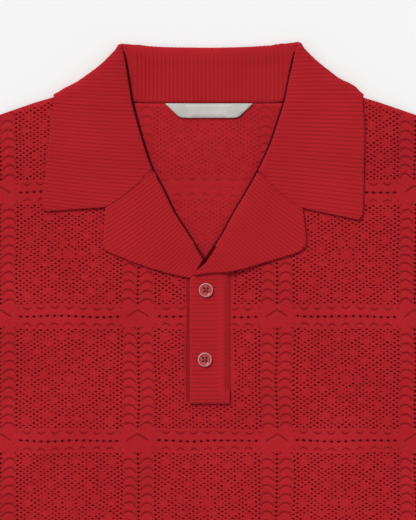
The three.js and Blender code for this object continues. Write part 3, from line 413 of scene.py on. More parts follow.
def rib_material(name):
    """Yarn knitted as rib: broad round ribs with narrow grooves, and faint stitches along them, with painted shade in
    the grooves.
    """
    tree = new_material(name)[1]
    place = add(tree, "ShaderNodeTexCoord").outputs["Object"]
    loops = add(tree, "ShaderNodeTexVoronoi", None, {"Vector": place, "Scale": scale_for(1.11)})
    count = add(tree, "ShaderNodeAttribute", {"attribute_name": "rib_count"})
    lined = add(tree, "ShaderNodeAttribute", {"attribute_name": "lined"})
    turn = add(tree, "ShaderNodeMath", {"operation": "MULTIPLY"}, {0: count.outputs["Fac"], 1: math.pi})
    wave = add(tree, "ShaderNodeMath", {"operation": "SINE"}, {0: turn})
    round_rib = add(tree, "ShaderNodeMath", {"operation": "ABSOLUTE"}, {0: wave})
    rib = add(tree, "ShaderNodeMath", {"operation": "POWER"}, {0: round_rib, 1: RIB_ROUNDNESS})
    raised = add(tree, "ShaderNodeMath", {"operation": "MULTIPLY"}, {0: rib, 1: lined.outputs["Fac"]})
    height = add(tree, "ShaderNodeMath", {"operation": "MULTIPLY_ADD"},
                 {0: raised, 1: RIB_RELIEF, 2: loops.outputs["Distance"]})
    # painted shade: a narrow dark line along the bottom of each drawn rib's groove
    narrow = add(tree, "ShaderNodeMapRange", {"interpolation_type": "SMOOTHSTEP"},
                 {"Value": round_rib, "From Min": 0.0, "From Max": 0.6, "To Min": 0.5, "To Max": 0.0})
    line = add(tree, "ShaderNodeMath", {"operation": "MULTIPLY"}, {0: narrow, 1: lined.outputs["Fac"]})
    groove = add(tree, "ShaderNodeAttribute", {"attribute_name": "groove"})
    dark = add(tree, "ShaderNodeMath", {"operation": "MAXIMUM"}, {0: groove.outputs["Fac"], 1: line})
    return yarn_shader(name, light="#B42029", dark="#A81B24", hollow_colour="#7A0D16",
                       hollow=dark, height=height, depth=0.2 * MM)


openwork_yarn = openwork_material("openwork_knit_cotton_viscose")
rib_yarn = rib_material("rib_knit_cotton_viscose")
# the linking yarn is dyed near black for the cords round the neck and beside the placket: these are real linked seams,
# and their dark colour is a painted shadow of the gaps there
linking_tree = new_material("linking_yarn_cotton_viscose")[1]
linking_loops = add(linking_tree, "ShaderNodeTexVoronoi", None, {"Scale": scale_for(1.43)})
painted_shadow_linking_yarn = yarn_shader("linking_yarn_cotton_viscose", light="#6A0D15", dark="#4A070D",
                           hollow_colour="#240205", hollow=0.0,
                           height=linking_loops.outputs["Distance"], depth=0.25 * MM)
print("yarns:", openwork_yarn.name, rib_yarn.name, painted_shadow_linking_yarn.name)

# %% [markdown]
# ## Sewing thread, satin and resin
# Polyester sewing thread is smoother than the yarn, so its highlight is a little tighter. The neck
# label is a woven satin ribbon: long floats of filament give it a soft gloss and a fine grain. The
# floats are too fine to show, so they are drawn 0.39 mm apart. The buttons are cast polyester
# resin, turned and polished, in a pale pink. Their thin middle is given a redder colour, a painted
# show-through of the red cloth under it.

# %% Thread, satin and resin materials
FLOAT_SHARE = 0.35
# the thread's twist in mm, and how many waves a wave texture of scale 1 has in a metre
TWIST = 0.449
WAVES = 20 / math.tau


def thread_material():
    """Twisted polyester thread, dyed to match, with painted shade in the grooves of its twist."""
    material, tree = new_material("polyester_sewing_thread")
    place = add(tree, "ShaderNodeTexCoord").outputs["Object"]
    twist = add(tree, "ShaderNodeTexWave", None,
                {"Vector": place, "Scale": scale_for(TWIST) / WAVES, "Distortion": 2.0})
    bump = add(tree, "ShaderNodeBump", None,
               {"Height": twist.outputs["Fac"], "Strength": 0.5, "Distance": 0.08 * MM})
    # painted shade: the colour is darker where the twist's bump is low
    colour = add(tree, "ShaderNodeMix", {"data_type": "RGBA"},
                 {0: twist.outputs["Fac"], 6: linear("#6E1018"), 7: linear("#8E1A22")})
    shade = add(tree, "ShaderNodeBsdfPrincipled", None, {
        "Base Color": colour.outputs[2], "Roughness": 0.55, "IOR": 1.54,
        "Specular IOR Level": 0.4, "Normal": bump})
    add(tree, "ShaderNodeOutputMaterial", None, {"Surface": shade})
    return material


def satin_material():
    """Grey-white woven satin with floats along the ribbon."""
    material, tree = new_material("woven_satin_ribbon")
    place = add(tree, "ShaderNodeTexCoord").outputs["Object"]
    long, fine = scale_for(3.33), scale_for(0.385)
    stretch = add(tree, "ShaderNodeMapping", None, {"Vector": place, "Scale": (long, fine, long)})
    floats = add(tree, "ShaderNodeTexNoise", None, {"Vector": stretch, "Scale": 1.0})
    soft = add(tree, "ShaderNodeTexNoise", None, {"Vector": place, "Scale": scale_for(22.2), "Detail": 1.0})
    tone = add(tree, "ShaderNodeMath", {"operation": "MULTIPLY_ADD"},
               {0: floats.outputs["Fac"], 1: FLOAT_SHARE, 2: soft.outputs["Fac"]})
    colour = add(tree, "ShaderNodeMix", {"data_type": "RGBA"},
                 {0: tone, 6: linear("#98948F"), 7: linear("#CFCBC7")})
    bump = add(tree, "ShaderNodeBump", None,
               {"Height": floats.outputs["Fac"], "Strength": 0.35, "Distance": 0.06 * MM})
    shade = add(tree, "ShaderNodeBsdfPrincipled", None, {
        "Base Color": colour.outputs[2], "Roughness": 0.42, "IOR": 1.53,
        "Sheen Weight": 0.2, "Normal": bump})
    add(tree, "ShaderNodeOutputMaterial", None, {"Surface": shade})
    return material


def resin_material(name, light, dark, clear):
    """Cast and polished polyester resin with faint clouding."""
    material, tree = new_material(name)
    place = add(tree, "ShaderNodeTexCoord").outputs["Object"]
    cloud = add(tree, "ShaderNodeTexNoise", None, {"Vector": place, "Scale": scale_for(2.38), "Detail": 2.0})
    colour = add(tree, "ShaderNodeMix", {"data_type": "RGBA"},
                 {0: cloud.outputs["Fac"], 6: linear(dark), 7: linear(light)})
    wear = add(tree, "ShaderNodeMapRange", None,
               {"Value": cloud.outputs["Fac"], "To Min": 0.2, "To Max": 0.34})
    shade = add(tree, "ShaderNodeBsdfPrincipled", None, {
        "Base Color": colour.outputs[2], "Roughness": wear, "IOR": 1.56,
        "Transmission Weight": clear})
    add(tree, "ShaderNodeOutputMaterial", None, {"Surface": shade})
    return material


thread = thread_material()
satin = satin_material()
rim_resin = resin_material("cast_resin_pale_pink", "#E4B4B4", "#C8868A", 0.25)
# the thin middle is redder: a painted show-through of the red cloth under it, with a little real transmission too
middle_resin_painted_show_through = resin_material("cast_resin_thin_middle", "#D4504C", "#BC3A3A", 0.3)
print("small materials:", thread.name, satin.name, rim_resin.name, middle_resin_painted_show_through.name)

# %% [markdown]
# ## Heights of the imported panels
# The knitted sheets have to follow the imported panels. Rays are cast at a panel on an even grid,
# places beside it are filled in from their neighbours, and a light blur takes the flat facets away.
# Any point of the sheet then reads its height from this map.

# %% Height maps
# rays start this far above or below the shirt, in metres
FAR = 0.1


def packed_tree(node):
    """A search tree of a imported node's faces."""
    mesh = frame["nodes"][node].data
    points = [v.co.copy() for v in mesh.vertices]
    return BVHTree.FromPolygons(points, [tuple(p.vertices) for p in mesh.polygons])


class HeightMap:
    """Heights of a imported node's upper or lower face, read at any place."""

    STEP = 6 * MM
    MARGIN = 3
    BLURS = 3
    SHORT_OF_LAST = 1.001

    def __init__(self, node, from_above=True):
        tree = packed_tree(node)
        low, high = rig.box(node)
        before, after = self.MARGIN * self.STEP, (self.MARGIN + 1) * self.STEP
        self.xs = np.arange(low.x - before, high.x + after, self.STEP)
        self.ys = np.arange(low.y - before, high.y + after, self.STEP)
        start = FAR if from_above else -FAR
        ray = Vector((0, 0, -1 if from_above else 1))
        self.heights = np.full((len(self.xs), len(self.ys)), np.nan)
        for i, x in enumerate(self.xs):
            for j, y in enumerate(self.ys):
                hit = tree.ray_cast(Vector((x, y, start)), ray)[0]
                if hit is not None:
                    self.heights[i, j] = hit.z
        self.fill()
        for _ in range(self.BLURS):
            self.heights = self.neighbours(self.heights)[0] * 0.5 + self.heights * 0.5

    @staticmethod
    def neighbours(grid):
        """Mean of the four neighbours that hold a number, and how many do."""
        wide = np.pad(grid, 1, constant_values=np.nan)
        around = np.stack([wide[:-2, 1:-1], wide[2:, 1:-1], wide[1:-1, :-2], wide[1:-1, 2:]])
        count = np.isfinite(around).sum(axis=0)
        return np.where(count > 0, np.nansum(around, axis=0) / np.maximum(count, 1), np.nan), count

    def fill(self):
        """Give each empty place the mean of its neighbours, until none is empty."""
        while np.isnan(self.heights).any():
            mean, count = self.neighbours(self.heights)
            empty = np.isnan(self.heights) & (count > 0)
            self.heights[empty] = mean[empty]

    def at(self, x, y):
        """Height at places, straight between the four grid points around each."""
        u = np.clip((np.asarray(x) - self.xs[0]) / self.STEP, 0, len(self.xs) - self.SHORT_OF_LAST)
        v = np.clip((np.asarray(y) - self.ys[0]) / self.STEP, 0, len(self.ys) - self.SHORT_OF_LAST)
        i = u.astype(int)
        j = v.astype(int)
        a = u - i
        b = v - j
        h = self.heights
        return ((h[i, j] * (1 - a) + h[i + 1, j] * a) * (1 - b)
                + (h[i, j + 1] * (1 - a) + h[i + 1, j + 1] * a) * b)


front_map = HeightMap("front")
back_map = HeightMap("back")
front_span = (front_map.heights.min(), front_map.heights.max())
print("front height, mm:", [round(float(h) / MM, 2) for h in front_span])

# %% [markdown]
# ## The outline of a panel
# The knitting has to end where the cut panel ends. A panel's upper face is the set of triangles
# that look up, and the edges used by only one of them, chained end to end, are its outline. Points
# are matched to the nearest micron. A sleeve has two layers, but its outline bulges everywhere, so
# a hull round its points serves.

# %% Outlines
MICRON = 1e-6
MICRONS_A_METRE = 1e6
LOOKS_UP = 0.5


def panel_outline(node):
    """Ordered points round a packed panel's upper face."""
    mesh = frame["nodes"][node].data
    key = [(round(v.co.x * MICRONS_A_METRE), round(v.co.y * MICRONS_A_METRE)) for v in mesh.vertices]
    used = {}
    for polygon in mesh.polygons:
        if polygon.normal.z < LOOKS_UP:
            continue
        corners = [key[v] for v in polygon.vertices]
        for a, b in zip(corners, corners[1:] + corners[:1]):
            used[(a, b)] = used.get((a, b), 0) + 1
    following = {a: b for a, b in used if (b, a) not in used}
    loops = []
    while following:
        start, step = next(iter(following.items()))
        loop = [start]
        while step != start and step in following:
            loop.append(step)
            step = following[step]
        for point in loop:
            following.pop(point, None)
        loops.append(loop)
    return np.array(max(loops, key=len), float) * MICRON


def hull_outline(node):
    """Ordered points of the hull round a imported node, seen from above."""
    places = sorted({(round(v.co.x, 6), round(v.co.y, 6)) for v in frame["nodes"][node].data.vertices})
    chains = []
    for row in (places, places[::-1]):
        chain = []
        for p in row:
            while len(chain) > 1:
                (ax, ay), (bx, by) = chain[-2], chain[-1]
                if (bx - ax) * (p[1] - ay) - (by - ay) * (p[0] - ax) > 0:
                    break
                chain.pop()
            chain.append(p)
        chains += chain[:-1]
    return np.array(chains, float)


def nearest_on(outline, points):
    """For each point the nearest place on the outline, its distance, and the way to the right."""
    run = np.roll(outline, -1, axis=0) - outline
    length = np.maximum((run ** 2).sum(axis=1), 1e-12)
    best = np.full(len(points), np.inf)
    spot = np.zeros((len(points), 2))
    out = np.zeros((len(points), 2))
    for start, way, size in zip(outline, run, length):
        share = np.clip(((points - start) @ way) / size, 0, 1)
        on = start + share[:, None] * way
        distance = np.hypot(*(points - on).T)
        closer = distance < best
        best[closer] = distance[closer]
        spot[closer] = on[closer]
        out[closer] = np.array([way[1], -way[0]]) / math.sqrt(size)
    return spot, best, out


def inside(outline, points):
    """Which points lie inside the outline."""
    x, y = points.T
    within = np.zeros(len(points), bool)
    for (ax, ay), (bx, by) in zip(outline, np.roll(outline, -1, axis=0)):
        if ay == by:
            continue
        crosses = ((ay > y) != (by > y)) & (x < (bx - ax) * (y - ay) / (by - ay) + ax)
        within ^= crosses
    return within


front_outline = panel_outline("front")
back_outline = panel_outline("back")
print("outline points:", len(front_outline), len(back_outline))

# %% [markdown]
# ## The knitting chart
# Openwork knitting repeats a chart of eyelets. Here a repeat is a window pane: a square of close
# staggered eyelets with solid spots in rings, framed by a column of eyelets between two columns of
# small arches, and by a dotted row between two scalloped lines, with a little roof where they
# cross. The chart is written as rules on columns and rows counted from the crossing. The real
# chart has stitches about 7 per cent finer, and this one is a little coarser so that its holes can
# be cut as real gaps. Hand and yarn make no two eyelets alike, so two waves that never fall in
# step change their sizes a little.

# %% Chart of eyelets
# where the bands cross on the front and on the back, whose chart lies a little off the front's
FRONT_CROSSING = (62.37 * MM, 215.9 * MM)
BACK_CROSSING = (60.6 * MM, 220.3 * MM)
BAND = {"columns": 5, "rows": 6}
# solid spots in a pane, in mm, and the eyelets' sizes as shares of a cell
SPOT_RINGS = [
    {"radius": 0.0, "spots": 1, "size": 4.2},
    {"radius": 11.6, "spots": 6, "size": 3.5},
    {"radius": 24.0, "spots": 11, "size": 3.7},
    {"radius": 37.5, "spots": 18, "size": 3.7},
]
CORNER_SPOT = {"across": 38.5, "up": 37.2, "size": 5.0}
EYELET = {"pane": 0.72, "pane_side": 0.9, "column": 0.92, "dot": 1.05}
UNEVEN_EYELETS = {"share": 0.2, "first_wave": (12.9, 78.2), "second_wave": (4.1, -7.7)}
LAST_DOT = 14


def solid_spots(across, up):
    """Where a pane is left solid: spots in rings round its middle and one by each corner."""
    from_corner = (np.abs(across) - CORNER_SPOT["across"], np.abs(up) - CORNER_SPOT["up"])
    solid = np.hypot(*from_corner) < CORNER_SPOT["size"]
    for ring in SPOT_RINGS:
        for k in range(ring["spots"]):
            angle = 2 * math.pi * (k + 0.5) / ring["spots"]
            away = np.hypot(across - ring["radius"] * math.sin(angle),
                            up - ring["radius"] * math.cos(angle))
            solid |= away < ring["size"]
    return solid


def eyelets(column, row):
    """Size of each cell's eyelet as a share of the cell, 0 where it is solid, and the panes."""
    half_wide = REPEAT["columns"] // 2
    half_high = REPEAT["rows"] // 2
    c = (column + half_wide) % REPEAT["columns"] - half_wide
    r = (row + half_high) % REPEAT["rows"] - half_high
    side = np.abs(c)
    pane_column = column % REPEAT["columns"] - half_wide
    pane_row = row % REPEAT["rows"] - half_high
    in_pane = (side >= BAND["columns"]) & (np.abs(r) >= BAND["rows"])
    spots = solid_spots(pane_column * CELL[0] / MM, pane_row * CELL[1] / MM)
    first, second = UNEVEN_EYELETS["first_wave"], UNEVEN_EYELETS["second_wave"]
    uneven = (UNEVEN_EYELETS["share"] * np.sin(column * first[0] + row * first[1])
              * np.sin(column * second[0] + row * second[1]))
    size = np.zeros(c.shape)
    mesh = in_pane & ((c + r) % 2 == 0) & ~spots
    size[mesh] = (EYELET["pane"] + uneven)[mesh]
    size[mesh & (side <= BAND["columns"] + 1)] = EYELET["pane_side"]
    size[(c == 0) & (row % 2 == 0) & (np.abs(r) >= BAND["rows"])] = EYELET["column"]
    size[(r == 0) & (pane_column % 2 == 0) & (np.abs(pane_column) <= LAST_DOT)] = EYELET["dot"]
    return size, in_pane & ~spots


unit = eyelets(*np.meshgrid(np.arange(REPEAT["columns"]), np.arange(REPEAT["rows"]), indexing="ij"))[0]
print("cell, mm:", np.round(np.array(CELL) / MM, 2), "eyelets a repeat:", int((unit > 0).sum()))

# %% [markdown]
# ## Knitting a sheet with real holes
# A grid of squares with square holes would need many faces. Instead each point sits in the middle
# of a cell's side: a solid cell is one diamond of four such points, and one more diamond fills each
# place where four cells meet. An eyelet is a cell whose diamond is left out, with its four points
# drawn in or out to its size.

# %% Points between the cells
def side_points(middle, size, axis):
    """Points in the middle of the cells' sides along one axis, drawn to the eyelets' sizes."""
    half = CELL[axis] / 2
    count = list(size.shape)
    count[axis] += 1
    pad = [(1, 0) if k == axis else (0, 0) for k in range(2)]
    before = np.pad(size, pad)
    after = np.pad(size, [(b, a) for a, b in pad])
    spot = np.zeros(count + [2])
    inner = [slice(None), slice(None)]
    inner[axis] = slice(0, -1)
    spot[tuple(inner)] = middle
    spot[tuple(inner)][..., axis] -= half
    inner[axis] = slice(-1, None)
    source = [slice(None), slice(None)]
    source[axis] = slice(-1, None)
    spot[tuple(inner)] = middle[tuple(source)]
    spot[tuple(inner)][..., axis] += half
    shift = np.where((before > 0) & (after == 0), (before - 1) * half, 0)
    shift = shift + np.where((after > 0) & (before == 0), (1 - after) * half, 0)
    spot[..., axis] += shift
    return spot, np.arange(spot[..., 0].size).reshape(count)


example = side_points(np.zeros((2, 2, 2)), np.zeros((2, 2)), 0)[1]
print("points on the upright sides of two by two cells:", example.size)

# %% [markdown]
# ## Sunken lines and uneven loops
# Along the chart's arches, scallops and roofs the stitches are drawn together, so the sheet sinks a
# little there. Moving the points is better than bump alone, as the sheet's own shape then shows
# the lines from every side. No two loops lie quite alike either: a slow drift bends the rows, and a
# little unevenness moves each point.

# %% Sunken lines and uneven loops
LINE_DEPTH = 0.3 * MM
UNEVEN = 0.13 * MM
DRIFT = [
    {"size": 0.5 * MM, "across": 74.0, "up": 51.0, "start": 0.4},
    {"size": 0.35 * MM, "across": -39.0, "up": 96.0, "start": 2.1},
]
OUT_OF_STEP = 1.3
ROUGH_WAVES = [(9137.0, 4271.0), (5231.0, -8713.0)]


def line_depth(places):
    """How deep the chart's arches, scallops and roofs sink at places, from 0 to 1."""
    column = places[:, 0] / CELL[0] - 0.5
    row = places[:, 1] / CELL[1] - 0.5
    half_wide = REPEAT["columns"] / 2
    half_high = REPEAT["rows"] / 2
    side = np.abs((column + half_wide) % REPEAT["columns"] - half_wide)
    up = (row + half_high) % REPEAT["rows"] - half_high
    from_arch = side - ARCH["middle"]
    arch_row = row + ARCH["bend"] * from_arch ** 2
    off_arch = (arch_row + ARCH["every"] / 2) % ARCH["every"] - ARCH["every"] / 2
    arch = np.clip(1 - np.abs(off_arch) / ARCH["half_line"], 0, 1)
    arch *= (np.abs(from_arch) < ARCH["reach"]) & (np.abs(up) > ARCH["from_row"])
    wave = np.cos(column * 2 * math.pi / SCALLOP["every"])
    off_scallop = np.abs(up) - SCALLOP["row"] + SCALLOP["swing"] * wave
    scallop = np.clip(1 - np.abs(off_scallop) / SCALLOP["half_line"], 0, 1)
    scallop *= (side > SCALLOP["from_column"]) & (wave > SCALLOP["sinks"])
    off_roof = up - ROOF["top"] + ROOF["slope"] * side
    roof = np.clip(1 - np.abs(off_roof) / ROOF["half_line"], 0, 1) * (side < ROOF["reach"])
    return np.maximum(arch, np.maximum(scallop, roof))


def hand_of_yarn(points):
    """How far loops stray from the chart: a slow drift of the rows and a little unevenness."""
    x, y = points.T
    stray = np.zeros(points.shape)
    for wave in DRIFT:
        turn = x * wave["across"] + y * wave["up"] + wave["start"]
        stray += wave["size"] * np.column_stack([np.sin(turn), np.cos(turn * OUT_OF_STEP)])
    rough = np.column_stack([np.sin(x * a + y * b) for a, b in ROUGH_WAVES])
    return stray + UNEVEN * rough


print("lines sink, mm:", LINE_DEPTH / MM, "loops stray, mm:", UNEVEN / MM)

# %% [markdown]
# ## The turned edge
# The sheet's outer points are moved onto the panel's outline, and a narrow roll turned down from
# them gives the cloth its thickness at the edge. Sewn pieces stand 0.3 mm apart and each roll
# reaches 0.12 mm out. About 2,000 pairs of triangles still cross along the seams, most of them at
# the armholes, where a wider roll would make many more cross.

# %% Turned edge
EDGE_ROLL = [
    {"out": 0.12 * MM, "down": 0.3 * MM},
    {"out": 0.08 * MM, "down": 1.25 * MM},
]


def signed_area(outline):
    """Area inside an outline, positive where it runs anticlockwise."""
    x, y = outline.T
    return 0.5 * float(np.sum(x * np.roll(y, -1) - np.roll(x, -1) * y))


def roll_edge(points, faces, round_hole, marks, local, turn, origin, height, down):
    """Fit the sheet's outer points to the outline, and turn a narrow edge down from them."""
    edges = np.concatenate([faces[:, [k, (k + 1) % 4]] for k in range(4)])
    order = np.sort(edges, axis=1)
    _, first, count = np.unique(order, axis=0, return_index=True, return_counts=True)
    rim = edges[first[count == 1]]
    hole = np.zeros(len(points), bool)
    hole[round_hole] = True
    rim = rim[~hole[rim].any(axis=1)]
    outer = np.unique(rim)
    spot, _, _ = nearest_on(local, points[outer])
    charted_places = points
    points = points + hand_of_yarn(points)
    points[outer] = spot
    _, _, out = nearest_on(local, points[outer])
    if signed_area(local) < 0:
        out = -out
    world = points @ turn + origin
    sunk = LINE_DEPTH * line_depth(charted_places) * marks["charted"]
    z = height(world[:, 0], world[:, 1]) - down * sunk
    vertices = [np.column_stack([world, z])]
    number = {0: outer}
    total = len(points)
    for k, step in enumerate(EDGE_ROLL):
        place = (points[outer] + out * step["out"]) @ turn + origin
        vertices.append(np.column_stack([place, z[outer] - down * step["down"]]))
        number[k + 1] = np.arange(len(outer)) + total
        total += len(outer)
    index = np.zeros(len(points), int)
    index[outer] = np.arange(len(outer))
    strips = []
    for k in range(len(EDGE_ROLL)):
        a, b = index[rim[:, 0]], index[rim[:, 1]]
        strips.append(np.stack([number[k][b], number[k][a], number[k + 1][a], number[k + 1][b]], axis=1))
    stitches = np.concatenate([charted_places] + [spot] * len(EDGE_ROLL)) / [WALE, COURSE]
    marks = {name: np.concatenate([values] + [values[outer]] * len(EDGE_ROLL))
             for name, values in marks.items()}
    return {"points": np.concatenate(vertices), "faces": np.concatenate([faces] + strips),
            "stitches": stitches, "marks": marks}


print("roll at the edge, mm:", EDGE_ROLL[-1]["down"] / MM)

# %% [markdown]
# ## One layer of knitting
# A layer is laid out on its own grid of cells, turned to the way the knitting runs. A cell is kept
# where its middle lies inside the outline, and it may be an eyelet only where its neighbours are
# kept too and the cloth isn't plain. Marks on the points tell the material where the chart, its
# panes and the rims of lone eyelets are. The rim mark is a painted shade round each lone eyelet.

# %% Knitted layer
# share of painted shade on the rim of a lone eyelet
LONE_RIM_SHADE = 0.4


def knit_layer(outline, origin, angle, height, plain, down=1, closed=1.0):
    """One knitted layer: its points, faces, stitch counts and marks. down is -1 for a layer that
    looks at the floor, and closed draws its eyelets smaller."""
    turn = np.array([[math.cos(angle), math.sin(angle)], [-math.sin(angle), math.cos(angle)]])
    local = (outline - origin) @ turn.T
    first = np.floor(local.min(axis=0) / CELL).astype(int) - 1
    last = np.ceil(local.max(axis=0) / CELL).astype(int) + 1
    columns, rows = last - first
    column, row = np.meshgrid(np.arange(columns), np.arange(rows), indexing="ij")
    middle = np.stack([(column + first[0] + 0.5) * CELL[0], (row + first[1] + 0.5) * CELL[1]], axis=-1)
    flat = middle.reshape(-1, 2)
    keep = inside(local, flat).reshape(columns, rows)
    size, pane = eyelets(column + first[0], row + first[1])
    wide = np.pad(keep, 1)
    ringed = np.ones_like(keep)
    for i in range(3):
        for j in range(3):
            ringed &= wide[i:i + columns, j:j + rows]
    charted = ringed & ~plain(flat @ turn + origin).reshape(columns, rows)
    size = np.where(charted, size * closed, 0)
    across, across_number = side_points(middle, size, 0)
    upward, upward_number = side_points(middle, size, 1)
    upward_number = upward_number + across_number.size
    points = np.concatenate([across.reshape(-1, 2), upward.reshape(-1, 2)])
    solid = keep & (size == 0)
    i, j = np.nonzero(solid)
    cells = np.stack([across_number[i, j], upward_number[i, j],
                      across_number[i + 1, j], upward_number[i, j + 1]], axis=1)
    i, j = np.nonzero(keep[:-1, :-1] & keep[1:, :-1] & keep[:-1, 1:] & keep[1:, 1:])
    meets = np.stack([upward_number[i, j + 1], across_number[i + 1, j],
                      upward_number[i + 1, j + 1], across_number[i + 1, j + 1]], axis=1)
    faces = np.concatenate([cells, meets])
    i, j = np.nonzero(keep & (size > 0))
    round_hole = np.concatenate([across_number[i, j], across_number[i + 1, j],
                                 upward_number[i, j], upward_number[i, j + 1]])
    # the rims of lone eyelets carry painted shade, less on a layer drawn with smaller eyelets
    lone = np.concatenate([np.where(pane[i, j], 0.0, LONE_RIM_SHADE * closed)] * 4)
    marks = {name: np.zeros(len(points)) for name in ("rim", "pane", "charted")}
    marks["rim"][round_hole] = lone
    for name, flags in (("pane", pane & charted), ("charted", charted)):
        i, j = np.nonzero(flags)
        for number in (across_number[i, j], across_number[i + 1, j],
                       upward_number[i, j], upward_number[i, j + 1]):
            marks[name][number] = closed ** 0.5
    return roll_edge(points, faces, round_hole, marks, local, turn, origin, height, down)


def mesh_piece(name, points, faces, material, stitches=None, marks=None):
    """A mesh object from points and faces, without the points that no face uses."""
    used = np.unique(faces)
    index = np.zeros(len(points), int)
    index[used] = np.arange(len(used))
    mesh = bpy.data.meshes.new(name)
    mesh.from_pydata(points[used].tolist(), [], index[faces].tolist())
    if stitches is not None:
        layer = mesh.uv_layers.new(name="stitches")
        corners = np.zeros(len(mesh.loops), int)
        mesh.loops.foreach_get("vertex_index", corners)
        layer.data.foreach_set("uv", stitches[used][corners].ravel())
    for mark, values in (marks or {}).items():
        mesh.attributes.new(mark, "FLOAT", "POINT").data.foreach_set("value", values[used])
    mesh.materials.append(material)
    mesh.shade_smooth()
    return add_object(name, mesh)


def triangles(piece):
    """How many triangles a mesh piece has."""
    return sum(len(p.vertices) - 2 for p in piece.data.polygons)


print("rim of a lone eyelet is darkened by:", LONE_RIM_SHADE)

# %% [markdown]
# ## Soft creases
# Laid cloth is never quite flat. A few creases are listed, each a soft ridge with its own
# place, direction, length, width and height. The photographed upper front is smooth, so its
# creases are shallow, and deeper ones lie lower on the body and on the sleeves.

# %% Creases
# places and sizes in mm, angles in degrees
BOW = 4
CREASES = [
    {"x": -118, "y": 96, "angle": 62, "long": 70, "wide": 9, "high": 0.5},
    {"x": 126, "y": 60, "angle": 118, "long": 80, "wide": 11, "high": 0.5},
    {"x": -66, "y": -22, "angle": 80, "long": 90, "wide": 12, "high": 0.6},
    {"x": 78, "y": -60, "angle": 100, "long": 85, "wide": 10, "high": 0.6},
    {"x": -190, "y": -60, "angle": 48, "long": 110, "wide": 14, "high": 1.1},
    {"x": 196, "y": -110, "angle": 128, "long": 120, "wide": 15, "high": 1.2},
    {"x": -120, "y": -210, "angle": 84, "long": 140, "wide": 13, "high": 1.2},
    {"x": 60, "y": -250, "angle": 96, "long": 130, "wide": 16, "high": 1.1},
    {"x": 190, "y": -270, "angle": 76, "long": 100, "wide": 12, "high": 0.9},
    {"x": -40, "y": -150, "angle": 12, "long": 90, "wide": 14, "high": 0.6},
    {"x": -330, "y": 110, "angle": 20, "long": 60, "wide": 9, "high": 0.8},
    {"x": -372, "y": 60, "angle": 66, "long": 50, "wide": 8, "high": 0.7},
    {"x": 338, "y": 96, "angle": 158, "long": 66, "wide": 10, "high": 0.8},
    {"x": 366, "y": 48, "angle": 112, "long": 45, "wide": 8, "high": 0.7},
]


def creased(x, y):
    """Height that the creases add at places, in metres."""
    total = np.zeros(np.shape(x))
    for crease in CREASES:
        angle = math.radians(crease["angle"])
        across = (x / MM - crease["x"]) * -math.sin(angle) + (y / MM - crease["y"]) * math.cos(angle)
        along = (x / MM - crease["x"]) * math.cos(angle) + (y / MM - crease["y"]) * math.sin(angle)
        bow = across - BOW * (along / crease["long"]) ** 2
        fade = np.exp(-(along / crease["long"]) ** 4)
        total += crease["high"] * MM * np.exp(-(bow / crease["wide"]) ** 2) * fade
    return total


print("creases:", len(CREASES))

# %% [markdown]
# ## Front and back
# The front lies on the back, and both carry the same chart. Each is counted from a crossing of its
# own, so that its panes line up with the photographed ones, and the back shows through the open
# neck. Its eyelets look nearly closed there, so they are drawn small. The last 20 mm above the hem
# are knitted plain, as the hem is turned up there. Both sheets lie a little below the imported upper
# faces, which leaves room for the creases.

# %% Front and back sheets
HEM_DEPTH = 20 * MM
SHEET_SINK = 0.35 * MM
BACK_CLOSED = 0.28
BACK_CREASED = 0.3
hem_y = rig.box("front")[0].y


def above_hem(places):
    """Which places belong to the plain hem."""
    return places[:, 1] < hem_y + HEM_DEPTH


def front_height(x, y):
    """Height of the front's sheet at places."""
    return front_map.at(x, y) - SHEET_SINK + creased(x, y)


def back_height(x, y):
    """Height of the back's sheet at places. Its creases are the front's, mirrored and shallower."""
    return back_map.at(x, y) - SHEET_SINK + BACK_CREASED * creased(-x, y)


half_cell = np.array(CELL) / 2
front_layer = knit_layer(front_outline, np.array(FRONT_CROSSING) - half_cell, 0, front_height, above_hem)
front = mesh_piece("front_knit", material=openwork_yarn, **front_layer)
back_layer = knit_layer(back_outline, np.array(BACK_CROSSING) - half_cell, 0, back_height, above_hem,
                        closed=BACK_CLOSED)
back = mesh_piece("back_knit", material=openwork_yarn, **back_layer)
print("triangles, front and back:", triangles(front), triangles(back))

# %% [markdown]
# ## Sleeves
# Each sleeve is one tube pressed flat, so it gets an upper and a lower layer, joined where their
# turned edges meet. The knitting runs along the sleeve, so its chart is turned to the line from the
# armhole to the cuff, and the turned-up cuff is knitted plain. The lower layer's eyelets are drawn
# smaller and one column along, so that the floor hardly shows through both layers.

# %% Sleeve sheets
CUFF_DEPTH = 20 * MM
LOWER_CLOSED = 0.7


def cuff_of(hull, sign):
    """The cuff's upper end and the way out of it, from a sleeve's hull. sign is -1 on the left."""
    far = hull[np.argsort(-sign * hull[:, 0])[:2]]
    lowest = hull[np.argmin(hull[:, 1])]
    top = far[np.argmax(far[:, 1])]
    run = (lowest - top) / np.linalg.norm(lowest - top)
    return top, np.array([-run[1], run[0]]) * sign


